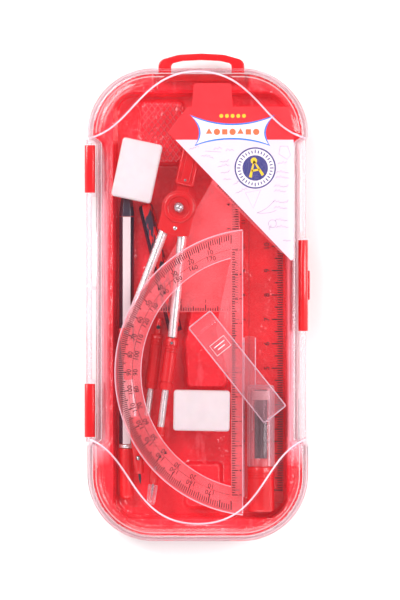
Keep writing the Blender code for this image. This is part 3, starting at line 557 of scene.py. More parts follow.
class Print:
    """Flat ink shapes, gathered into one mesh at one height."""

    def __init__(self, z):
        self.bm = bmesh.new()
        self.z = z

    def polygon(self, points):
        self.bm.faces.new([self.bm.verts.new((x, y, self.z)) for x, y in points])

    def stroke(self, a, b, width):
        along = Vector((b[0] - a[0], b[1] - a[1])).normalized()
        side = Vector((-along.y, along.x)) * (width / 2)
        self.polygon([
            (a[0] - side.x, a[1] - side.y), (b[0] - side.x, b[1] - side.y),
            (b[0] + side.x, b[1] + side.y), (a[0] + side.x, a[1] + side.y),
        ])

    def line(self, points, width, closed=False):
        """A mitred line through the points."""
        pts = [Vector(p) for p in points]
        count = len(pts)
        sides = []
        for i, p in enumerate(pts):
            before = pts[i - 1] if closed or i else p
            after = pts[(i + 1) % count] if closed or i < count - 1 else p
            along = (after - before).normalized()
            sides.append(Vector((-along.y, along.x)) * (width / 2))
        for i in range(count if closed else count - 1):
            j = (i + 1) % count
            self.polygon([pts[i] - sides[i], pts[j] - sides[j], pts[j] + sides[j], pts[i] + sides[i]])

    def text(self, body, centre, size, turn):
        curve = bpy.data.curves.new("digits", "FONT")
        curve.body = body
        curve.size = size
        curve.resolution_u = 3
        curve.offset = 0.02
        curve.align_x = "CENTER"
        curve.align_y = "CENTER"
        source = bpy.data.objects.new("digits", curve)
        bpy.context.scene.collection.objects.link(source)
        graph = bpy.context.evaluated_depsgraph_get()
        mesh = bpy.data.meshes.new_from_object(source.evaluated_get(graph))
        place = Matrix.Translation((*centre, self.z)) @ Matrix.Rotation(turn, 4, "Z")
        mesh.transform(place)
        self.bm.from_mesh(mesh)
        bpy.data.objects.remove(source)
        bpy.data.meshes.remove(mesh)

    def done(self, name, mat):
        bmesh.ops.recalc_face_normals(self.bm, faces=self.bm.faces)
        for face in self.bm.faces:
            if face.normal.z < 0:
                face.normal_flip()
        return finish_mesh(name, self.bm, mat)


# ---------------------------------------------------------------- case

LID_LOW, LID_HIGH = span("case_lid")
SPLIT_Z = span("case_base")[1][2]
LID_Z = LID_LOW[2]
TOP_Z = LID_HIGH[2]
HALF_W = LID_HIGH[0]
HALF_L = LID_HIGH[1]
PANEL_Z = next(m["pos_m"][2] for m in frame["record"]["mounts"] if m["name"] == "lid_panel") / MM
WALL, BEAD_OUT, BEAD_H = 1.2, 0.8, 1.2
CORNER_R = 27.0
RECESS_X, RECESS_Y, RECESS_SLANT = 41.5, (-57.5, 68.6), 2.6
HINGE_X, _, BASE_ROD_Z = pivot_of("lid_hinge")
LATCH_X, _, LID_ROD_Z = pivot_of("latch_pivot")
ROD_R = 1.1
BORE_R = ROD_R + 0.3
ROD_Y = (-55.8, 67.4)
HANDLE_LOW, HANDLE_HIGH = span("handle")
LUG_T = 1.4
HANDLE_FOOT = 5.3
LIP_R, LIP_IN = 0.36, 0.35


def rim_outline(inset, side=None, steps=6):
    """The case's outline with its side recesses, moved inwards by inset."""
    w, h, r = HALF_W - inset, HALF_L - inset, CORNER_R - inset
    left, right = side or (-(RECESS_X - inset), RECESS_X - inset)
    low, top = RECESS_Y
    soft = 1.2
    return rounded([
        (w, h, r), (-w, h, r),
        (-w, top, soft), (left, top - RECESS_SLANT, soft),
        (left, low + RECESS_SLANT, soft), (-w, low, soft),
        (-w, -h, r), (w, -h, r),
        (w, low, soft), (right, low + RECESS_SLANT, soft),
        (right, top - RECESS_SLANT, soft), (w, top, soft),
    ], steps)


def full_outline(inset):
    w, h, r = HALF_W - inset, HALF_L - inset, CORNER_R - inset
    return rounded([(w, h, r), (-w, h, r), (-w, -h, r), (w, -h, r)], 6)


def edge_rings(inset, wall_z, top_z, radius, outline, steps=8):
    """Rings from a wall's foot, up round an edge of the radius, to the flat at top_z."""
    up = 1 if top_z > wall_z else -1
    rings = [level(outline(inset), wall_z)]
    for i in range(steps + 1):
        a = (pi / 2) * i / steps
        rings.append(level(outline(inset + radius * (1 - cos(a))), top_z - up * radius * (1 - sin(a))))
    return rings


def lug(x, z, wall_x, y):
    low, high = sorted((x, wall_x))
    return prism("lug", box_outline(low, high, y, y + LUG_T, 0.2, 2), z - 0.9, z + 0.9, SHELL)


def rods_and_lugs(x, z, wall_x, lug_ys):
    rod = turned("rod", [(0, ROD_R), (ROD_Y[1] - ROD_Y[0], ROD_R)], (x, ROD_Y[0], z), (0, 1, 0), SHELL, seg=32)
    return [rod] + [lug(x, z, wall_x, y) for y in lug_ys]


LATCH_LOW, LATCH_HIGH = span("latch")
HINGE_LUGS = (ROD_Y[0], -31.9, 6.0, 44.2, ROD_Y[1] - LUG_T)
LATCH_LUGS = (ROD_Y[0], LATCH_LOW[1] - 1.8, LATCH_HIGH[1] + 0.4, ROD_Y[1] - LUG_T)
WALL_X = RECESS_X - BEAD_OUT - 0.4


def smooth_base():
    wall, edge = BEAD_OUT, 3.0
    outer = edge_rings(wall, SPLIT_Z - BEAD_H, 0.0, edge, rim_outline)
    outer.reverse()
    bead = [level(rim_outline(0.25), SPLIT_Z - BEAD_H), level(rim_outline(0), SPLIT_Z - BEAD_H + 0.25),
            level(rim_outline(0), SPLIT_Z - 0.2), level(rim_outline(0.2), SPLIT_Z)]
    inner = edge_rings(wall + WALL, SPLIT_Z, WALL, edge - WALL, rim_outline)
    base = rings_solid("base_shell", outer + bead + inner, SHELL)
    catch_y = (LATCH_LOW[1] + 3, LATCH_HIGH[1] - 3)
    catch = prism("catch", box_outline(WALL_X, 42.6, *catch_y, 0.3, 2), 7.7, 9.0, SHELL)
    combine(base, rods_and_lugs(HINGE_X, BASE_ROD_Z, -WALL_X, HINGE_LUGS) + [catch])
    notches = []
    gap = 0.3
    for a, b in ((HANDLE_LOW[0], HANDLE_LOW[0] + HANDLE_FOOT), (HANDLE_HIGH[0] - HANDLE_FOOT, HANDLE_HIGH[0])):
        notches.append(prism("notch", box_outline(a - gap, b + gap, HALF_L - 6, HALF_L + 2, 0.1, 2),
                             HANDLE_LOW[2] - gap, SPLIT_Z + 1, SHELL))
    return stands_for(combine(base, notches, "DIFFERENCE"), "case_base")


def scallop(top, shift):
    """The S-curve between the flat panel and a bulged end."""
    if top:
        half = bezier((0, 94.6), (25, 94.6), (27, 68), (48, 67), 40)
    else:
        half = bezier((0, -88.8), (29, -88.8), (26, -57), (48, -53.4), 40)
    return [(-x, y + shift) for x, y in reversed(half[1:])] + [(x, y + shift) for x, y in half]


def cap_region(top, shift, z0, z1):
    sign = 1 if top else -1
    far = sign * (HALF_L + 10)
    slope = 0.5
    low = scallop(top, sign * (shift - slope)) + [(48, far), (-48, far)]
    high = scallop(top, sign * (shift + slope)) + [(48, far), (-48, far)]
    return prism("region", low, z0, z1, SHELL, top=high)


def lid_form(name, grow, z0):
    inset = BEAD_OUT + grow
    panel = rings_solid(name, edge_rings(inset, z0, PANEL_Z - grow, 2.0 - grow * 0.8, rim_outline), SHELL)
    ends = []
    for top in (True, False):
        cap = rings_solid("cap", edge_rings(inset, z0, TOP_Z - grow, 6.0 - grow * 0.8, full_outline, 12), SHELL)
        ends.append(combine(cap, [cap_region(top, grow * 1.2, z0 - 1, TOP_Z + 1)], "INTERSECT"))
    return combine(panel, ends)


def smooth_lid():
    lid = lid_form("lid_shell", 0.0, LID_Z)
    rings = [level(rim_outline(0.2), LID_Z), level(rim_outline(0), LID_Z + 0.2),
             level(rim_outline(0), LID_Z + BEAD_H - 0.25), level(rim_outline(0.25), LID_Z + BEAD_H)]
    combine(lid, [rings_solid("bead", rings, SHELL)])
    combine(lid, [lid_form("hollow", WALL, LID_Z - 1)], "DIFFERENCE")
    combine(lid, rods_and_lugs(HINGE_X, LID_ROD_Z, -WALL_X, HINGE_LUGS)
            + rods_and_lugs(LATCH_X, LID_ROD_Z, WALL_X, LATCH_LUGS))
    return stands_for(lid, "case_lid")


def cap_surface(x):
    """The height of a bulged end near the side wall."""
    edge = 6.0
    short = max(0.0, edge - (HALF_W - BEAD_OUT - abs(x)))
    return TOP_Z - edge + sqrt(max(0.0, edge ** 2 - short ** 2))


def bright_edges():
    """Painted highlights along both S-curves: thin bright beads under the lid's surface that stand in for the light
    caught by the rounded lips.
    """
    for top in (True, False):
        points = [
            (x, y, cap_surface(x) - LIP_IN) for x, y in scallop(top, LIP_IN if top else -LIP_IN)
            if abs(x) < HALF_W - BEAD_OUT - 0.5
        ]
        detail(bead_along("scallop_lip", points, LIP_R, EDGE_HIGHLIGHT), "case_lid")


def bead_along(name, points, radius, mat, closed=False, seg=10):
    """A round bead that follows the points."""
    pts = [Vector(p) for p in points]
    count = len(pts)
    rings = []
    for i, p in enumerate(pts):
        before = pts[i - 1] if closed or i else p
        after = pts[(i + 1) % count] if closed or i < count - 1 else p
        along = (after - before).normalized()
        side = along.cross(Vector((0, 0, 1))).normalized()
        up = side.cross(along)
        rings.append([p + (side * cos(2 * pi * k / seg) + up * sin(2 * pi * k / seg)) * radius for k in range(seg)])
    return rings_solid(name, rings, mat, closed=closed, sharp=80)


def xz_prism(name, outline, y0, y1, mats):
    return rings_solid(name, [[(x, y, z) for x, z in outline] for y in (y0, y1)], mats)


def rod_bore(x, z, y0, y1):
    """The cutter for the hole in which a hinge or latch turns on its rod."""
    return turned("bore", [(0, BORE_R), (y1 - y0 + 2, BORE_R)], (x, y0 - 1, z), (0, 1, 0), RED, seg=32)


def smooth_clip(node):
    low, high = span(node)
    clip = xz_prism(node + "_smooth", box_outline(low[0], high[0], low[2], high[2], 1.3, 10), low[1], high[1], RED)
    bores = [
        rod_bore(HINGE_X, z, low[1], high[1]) for z in (BASE_ROD_Z, LID_ROD_Z)
    ]
    combine(clip, bores, "DIFFERENCE")
    return stands_for(bevelled(clip, 0.25), node)


def smooth_latch():
    y0, y1 = LATCH_LOW[1], LATCH_HIGH[1]
    radius = 2.0
    outer_x = LATCH_X + radius
    outline = arc((LATCH_X, LID_ROD_Z), radius, pi, 0, 24)
    outline += [(outer_x, 7.2), (outer_x - 0.7, 6.4), (41.9, 6.4), (41.9, 7.2), (outer_x - 1.7, 7.4),
                (outer_x - 1.7, 12.2), (LATCH_X - radius + 0.5, 13.6)]
    latch = xz_prism("latch_smooth", outline, y0, y1, RED)
    combine(latch, [rod_bore(LATCH_X, LID_ROD_Z, y0, y1)], "DIFFERENCE")

    def tab(d):
        return box_outline(outer_x - 0.6 + d, LATCH_HIGH[0] - d, 2.0 + d, 14.0 - d, 0.5)
    combine(latch, [soft_prism("tab", tab, 6.9, 8.3, 0.3, RED)])
    return stands_for(bevelled(latch, 0.2), "latch")


def smooth_handle():
    x0, x1 = HANDLE_LOW[0], HANDLE_HIGH[0]
    middle = (x0 + x1) / 2
    inner = (x1 - x0) / 2 - HANDLE_FOOT
    in_y, top_y = HANDLE_LOW[1], HANDLE_HIGH[1]
    side_y = top_y - 2.9

    def outer(d):
        return rounded([
            (x0 + d, in_y + d, 1.0), (x1 - d, in_y + d, 1.0), (x1 - d, side_y, 3.2),
            (middle + inner - 3.0, top_y - 0.5 - d, 12.0), (middle, top_y - d, 18.0),
            (middle - inner + 3.0, top_y - 0.5 - d, 12.0), (x0 + d, side_y, 3.2),
        ], 12)

    loop = soft_prism("handle_smooth", outer, HANDLE_LOW[2], HANDLE_HIGH[2], 0.5, RED)
    bar, rise, crossbar = 2.7, 1.5, 2.7
    hole = prism("hole", rounded([
        (middle - inner, in_y + crossbar, 0.5), (middle + inner, in_y + crossbar, 0.5),
        (middle + inner, top_y - bar - rise, 1.6), (middle + inner - 4.5, top_y - bar - 0.4, 10.0),
        (middle, top_y - bar, 16.0), (middle - inner + 4.5, top_y - bar - 0.4, 10.0),
        (middle - inner, top_y - bar - rise, 1.6),
    ], 12), HANDLE_LOW[2] - 1, HANDLE_HIGH[2] + 1, RED)
    return stands_for(bevelled(combine(loop, [hole], "DIFFERENCE"), 0.25), "handle")


smooth_base()
smooth_lid()
bright_edges()
smooth_clip("upper_hinge_clip")
smooth_clip("lower_hinge_clip")
smooth_latch()
smooth_handle()


# ---------------------------------------------------------------- tray

TRAY_LOW, TRAY_HIGH = span("inner_tray")
SHEET = 0.8
FLANGE_Z = TRAY_HIGH[2]
FLOOR_Z = TRAY_LOW[2] + SHEET
POCKET_X, POCKET_Y, POCKET_R = (-33.6, 36.0), (-86.5, 86.0), 8.0
TRAY_SIDE_X = (-39.3, 39.3)
TRAY_RIM_INSET = 2.15
SIDE_FLANGE_W = 3.4
TRAY_PITCH = 0.6
EMBOSS_PAD = [(-24.4, 57.0, 3), (-5.0, 57.0, 3), (-5.0, 84.0, 3), (-24.4, 84.0, 3)]
ISLANDS = [
    ([(-5.2, -35.0, 3), (13.0, -35.0, 3), (13.0, 3.6, 3), (-3.0, 3.6, 3), (-6.4, -16.0, 4)], 8.0),
    (EMBOSS_PAD, 9.0),
    ([(-6.0, -84.0, 3), (10.5, -84.0, 3), (10.5, -64.0, 3), (-6.0, -64.0, 3)], 5.0),
]


def inside_depth(points, x, y):
    """How far each (x, y) is inside the closed outline, and below zero outside it."""
    pts = np.array(points)
    nxt = np.roll(pts, -1, axis=0)
    best = np.full(x.shape, 1e9)
    odd = np.zeros(x.shape, bool)
    for (ax, ay), (bx, by) in zip(pts, nxt):
        ex, ey = bx - ax, by - ay
        t = np.clip(((x - ax) * ex + (y - ay) * ey) / max(ex * ex + ey * ey, 1e-12), 0, 1)
        best = np.minimum(best, (x - ax - t * ex) ** 2 + (y - ay - t * ey) ** 2)
        if ay != by:
            odd ^= ((ay > y) != (by > y)) & (x < (bx - ax) * (y - ay) / (by - ay) + ax)
    return np.where(odd, np.sqrt(best), -np.sqrt(best))


def ease(value, start, end):
    t = np.clip((value - start) / (end - start), 0, 1)
    return t * t * (3 - 2 * t)


def tray_height(x, y):
    """The sheet's height over its plan: rim, pocket, islands, quilted pad and shallow ribs."""
    pocket = inside_depth(box_outline(*POCKET_X, *POCKET_Y, POCKET_R), x, y)
    z = FLANGE_Z + (FLOOR_Z - FLANGE_Z) * ease(pocket, -1.1, 0.9)
    for corners, top in ISLANDS:
        rise = ease(inside_depth(rounded(corners), x, y), -0.1, 1.7)
        z = np.where(pocket > 0, z + (top - z) * rise, z)
    rim = inside_depth(rim_outline(TRAY_RIM_INSET, TRAY_SIDE_X), x, y)
    z -= 0.5 * ease(-np.abs(rim - 3.4), -0.9, -0.2) * (pocket < -1.4)
    droop = np.clip(1 - rim / SIDE_FLANGE_W, 0, 1)
    side = ease(72.0 - np.abs(y), 4.0, 9.0) * (np.abs(x) > 34.0)
    z -= 4.4 * (1 - np.sqrt(1 - np.clip(droop, 0, 0.98) ** 2)) * side
    z += 0.35 * np.sin(x / 5.1 + y / 17.0) * np.sin(y / 11.0) * ease(-pocket, 1.4, 5.0)
    middle = (HANDLE_LOW[0] + HANDLE_HIGH[0]) / 2
    reach = (HANDLE_HIGH[0] - HANDLE_LOW[0]) / 2 + 0.8
    clear_of_handle = HANDLE_LOW[2] - 1.2
    dip = ease(reach + 1.2 - np.abs(x - middle), 0, 1.2) * ease(y, HANDLE_LOW[1] - 4.6, HANDLE_LOW[1] - 3.4)
    return z + (np.minimum(z, clear_of_handle) - z) * dip


def sort_faces(bm):
    """Store the faces in one fixed order: an extrusion adds its faces in an order that varies."""
    bm.verts.index_update()
    count = len(bm.verts)

    def place(face):
        first, second, third = sorted(v.index for v in face.verts)[:3]
        return float((first * count + second) * count + third)
    bm.faces.sort(key=place)
    bm.faces.index_update()


def smooth_tray():
    outline = rim_outline(TRAY_RIM_INSET, TRAY_SIDE_X)
    xs = np.arange(TRAY_LOW[0] - 3 * TRAY_PITCH, TRAY_HIGH[0] + 3 * TRAY_PITCH, TRAY_PITCH)
    ys = np.arange(TRAY_LOW[1] - 3 * TRAY_PITCH, TRAY_HIGH[1] + 3 * TRAY_PITCH, TRAY_PITCH)
    gx, gy = np.meshgrid(xs, ys)
    depth = inside_depth(outline, gx, gy)
    slope_y, slope_x = np.gradient(depth, TRAY_PITCH)
    size = np.maximum(np.hypot(slope_x, slope_y), 0.3)
    near = depth < TRAY_PITCH * 0.55
    px = np.where(near, gx - depth * slope_x / size ** 2, gx)
    py = np.where(near, gy - depth * slope_y / size ** 2, gy)
    pz = tray_height(px, py)
    keep = depth > -TRAY_PITCH * 0.5
    count_y, count_x = gx.shape
    index = np.arange(count_y * count_x).reshape(count_y, count_x)
    cell = keep[:-1, :-1] & keep[1:, :-1] & keep[:-1, 1:] & keep[1:, 1:]
    a, b = index[:-1, :-1][cell], index[:-1, 1:][cell]
    c, d = index[1:, 1:][cell], index[1:, :-1][cell]
    quads = np.stack([a, b, c, d], axis=1)
    used = np.unique(quads)
    renumber = np.zeros(index.size, int)
    renumber[used] = np.arange(len(used))
    verts = np.stack([px.ravel()[used], py.ravel()[used], pz.ravel()[used]], axis=1)
    bm = bmesh.new()
    made = [bm.verts.new(v) for v in verts]
    for quad in renumber[quads]:
        bm.faces.new([made[i] for i in quad])
    rim = [e for e in bm.edges if e.is_boundary]
    grown = bmesh.ops.extrude_edge_only(bm, edges=rim)["geom"]
    for v in grown:
        if isinstance(v, bmesh.types.BMVert):
            v.co.z -= SHEET
    sort_faces(bm)
    return stands_for(finish_mesh("tray_sheet", bm, TRAY, sharp=60), "inner_tray")


smooth_tray()


# ---------------------------------------------------------------- flat drawing tools

INK_LIFT = 0.03
MARK_W, LONG_MARK_W = 0.38, 0.44
SMALL_MARKS = (1.3, 1.9, 2.6)
DEGREE_ENDS = {"ten": 53.7, "five": 54.3, "one": 55.0, "outer": 57.2}
PROTRACTOR_C = (24.7, -27.6)
PROTRACTOR_R = (47.7, 58.7)
PROTRACTOR_X = (13.6, 18.5)
MEASURE_C = (PROTRACTOR_X[0], PROTRACTOR_C[1])


def along_ray(angle, radius):
    """The point where a ray from the measuring centre meets an arc of the protractor."""
    d = (cos(angle), sin(angle))
    w = MEASURE_C[0] - PROTRACTOR_C[0]
    t = -w * d[0] + sqrt((w * d[0]) ** 2 - w * w + radius * radius)
    return (MEASURE_C[0] + d[0] * t, MEASURE_C[1] + d[1] * t)


def chord(radius, x):
    away = PROTRACTOR_C[0] - x
    return pi - atan2(sqrt(radius ** 2 - away ** 2), away)


def smooth_protractor():
    low, high = span("protractor")
    r_in, r_out = PROTRACTOR_R
    x_in, x_out = PROTRACTOR_X

    def body(d):
        start = chord(r_out - d, x_out - d)
        return arc(PROTRACTOR_C, r_out - d, start, 2 * pi - start, 220)

    solid = soft_prism("protractor_smooth", body, low[2], high[2], 0.3, TINTED, 3, sharp=60)
    start = chord(r_in, x_in)
    window = arc(PROTRACTOR_C, r_in, start, 2 * pi - start, 200) + [(x_in, -31.1), (7.4, -10.3), (12.8, 16.0)]
    combine(solid, [prism("window", window, low[2] - 1, high[2] + 1, TINTED)], "DIFFERENCE")
    stands_for(bevelled(solid, 0.22, angle=50), "protractor")
    # Painted highlights: bright beads along the outer and inner arcs and the straight side.
    for radius, x, thick in ((r_out - 0.25, x_out - 0.25, 0.26), (r_in + 0.2, x_in, 0.16)):
        begin = chord(radius, x)
        edge = [(*p, high[2] - 0.05) for p in arc(PROTRACTOR_C, radius, begin, 2 * pi - begin, 200)]
        detail(bead_along("protractor_edge", edge, thick, EDGE_HIGHLIGHT, seg=8), "protractor")
    side = [(x_out - 0.2, PROTRACTOR_C[1] + s * 57.5, high[2] - 0.05) for s in (-1, 1)]
    detail(bead_along("protractor_edge", side, 0.2, EDGE_HIGHLIGHT, seg=8), "protractor")

    ink_layer = Print(high[2] + INK_LIFT)
    for degree in range(181):
        angle = radians(90 + degree)
        inner = DEGREE_ENDS["ten" if degree % 10 == 0 else "five" if degree % 5 == 0 else "one"]
        width = 0.42 if degree % 5 == 0 else 0.36
        ink_layer.stroke(along_ray(angle, inner), along_ray(angle, DEGREE_ENDS["outer"]), width)
        if degree % 10 == 0 and 0 < degree < 180:
            for radius, value in ((52.7, degree), (50.1, 180 - degree)):
                ink_layer.text(str(value), along_ray(angle, radius), 2.7, angle - pi / 2)
    for radius in (51.4, 57.5):
        start = chord(radius, x_in) + 0.01
        ink_layer.line(arc(PROTRACTOR_C, radius, start, 2 * pi - start, 160), 0.16)
    for step in range(-50, 51):
        long = 2.4 if step % 10 == 0 else 1.9 if step % 5 == 0 else 1.3
        y = PROTRACTOR_C[1] + step
        ink_layer.stroke((x_in + 0.4, y), (x_in + 0.4 + long, y), 0.36)
        if step % 10 == 0:
            ink_layer.text(str(abs(step) // 10), (x_in + 3.9, y), 1.5, pi / 2)
    ink_layer.line([(PROTRACTOR_X[0] - 2.5, MEASURE_C[1]), (PROTRACTOR_X[0] + 3, MEASURE_C[1])], 0.12)
    detail(ink_layer.done("protractor_scale", DARK_SCALE), "protractor")


def plate(name, corners, z, edge=0.25):
    """A plate with softened edges; corners are (x, y, radius)."""
    cx = sum(c[0] for c in corners) / len(corners)
    cy = sum(c[1] for c in corners) / len(corners)

    def shrink(d):
        return rounded([
            (x - d * (1 if x > cx else -1), y - d * (1 if y > cy else -1), max(r - d / 2, 0.3)) for x, y, r in corners
        ], 8)
    return soft_prism(name, shrink, z[0], z[1], edge, TINTED, 3, sharp=60)


def scale_marks(layer, start, direction, inward, length, lengths, size=0.0, turn=0.0, gap=1.0):
    """Millimetre marks from start along direction; the digits stand beyond the longest marks."""
    for step in range(int(length) + 1):
        long = lengths[2] if step % 10 == 0 else lengths[1] if step % 5 == 0 else lengths[0]
        a = (start[0] + direction[0] * step, start[1] + direction[1] * step)
        layer.stroke(a, (a[0] + inward[0] * long, a[1] + inward[1] * long), MARK_W if step % 5 else LONG_MARK_W)
        if size and step % 10 == 0 and 0 < step:
            reach = lengths[2] + gap
            layer.text(str(step // 10), (a[0] + inward[0] * reach, a[1] + inward[1] * reach), size, turn)


def smooth_ruler():
    low, high = span("ruler")
    x0, x1, y0, y1 = low[0], high[0], low[1], high[1]
    corners = [(x0, y0, 1.5), (x1, y0, 1.5), (x1, y1, 1.5), (x0, y1, 1.5)]
    ruler = plate("ruler_smooth", corners, (low[2], high[2]))
    ruler.data.materials[0] = RULER_CLEAR
    hole = turned("hole", [(0, 2.2), (4, 2.2)], ((x0 + x1) / 2, y0 + 5.5, low[2] - 1), UP, RULER_CLEAR)
    stands_for(combine(ruler, [hole], "DIFFERENCE"), "ruler")

    def grip(d):
        return box_outline(18.9 + d, 23.6 - d, y0 + 2 + d, -13.0 - d, 0.8)
    detail(soft_prism("ruler_grip", grip, high[2], high[2] + 0.55, 0.3, CLEAR_SMALL), "ruler")
    # Painted highlights: bright beads along both sides of the grip.
    for x in (18.9, 23.6):
        line = [(x, y0 + 2.5, high[2] + 0.5), (x, -13.5, high[2] + 0.5)]
        detail(bead_along("ruler_grip_edge", line, 0.22, EDGE_HIGHLIGHT, seg=8), "ruler")
    layer = Print(high[2] + INK_LIFT)
    scale_marks(layer, (x1 - 0.5, y0 + 5.2), (0, 1), (-1, 0), 150, (2.2, 3.3, 4.6), 3.0, pi / 2, 1.9)
    scale_marks(layer, (x0 + 0.5, y0 + 5.2), (0, 1), (1, 0), 150, (1.4, 2.2, 3.0), 2.2, -pi / 2, 1.5)
    layer.line([(x0 + 7.4, y0 + 5), (x0 + 7.4, y1 - 3)], 0.12)
    detail(layer.done("ruler_scale", DARK_SCALE), "ruler")


def smooth_square_60():
    low, high = span("set_square_60")
    right_x, foot_y, height = 17.2, -3.0, 73.0
    left_x = right_x - height / sqrt(3)
    square = prism("square_60_smooth", rounded([
        (left_x, foot_y, 0.8), (right_x, foot_y, 0.8), (right_x, foot_y + height, 0.8)], 8), low[2], high[2], TINTED)
    stands_for(bevelled(square, 0.2), "set_square_60")
    layer = Print(high[2] + INK_LIFT)
    scale_marks(layer, (right_x - 0.5, foot_y + 4), (0, 1), (-1, 0), 50, SMALL_MARKS, 2.2, pi / 2, 1.4)
    scale_marks(layer, (right_x - 4, foot_y + 0.5), (-1, 0), (0, 1), 30, SMALL_MARKS, 2.2, pi, 1.4)
    detail(layer.done("square_60_scale", DARK_SCALE), "set_square_60")


def smooth_square_45():
    low, high = span("set_square_45")
    edge_x, top_y, hyp = 35.3, 80.0, 60.0
    corners = [(edge_x, top_y - hyp, 0.8), (edge_x, top_y, 0.8), (edge_x - hyp / 2, top_y - hyp / 2, 0.8)]
    square = prism("square_45_smooth", rounded(corners, 8), low[2], high[2], TINTED)
    stands_for(bevelled(square, 0.2), "set_square_45")
    layer = Print(high[2] + INK_LIFT)
    scale_marks(layer, (edge_x - 0.5, top_y - hyp + 4), (0, 1), (-1, 0), 50, SMALL_MARKS, 2.2, pi / 2, 1.4)
    diagonal = sqrt(0.5)
    scale_marks(layer, (edge_x - 3.2, top_y - hyp + 4.3), (-diagonal, diagonal), (diagonal, diagonal), 34,
                SMALL_MARKS, 2.0, pi * 0.75, 1.4)
    detail(layer.done("square_45_scale", DARK_SCALE), "set_square_45")


smooth_protractor()
smooth_ruler()
smooth_square_60()
smooth_square_45()


# ---------------------------------------------------------------- card and its print

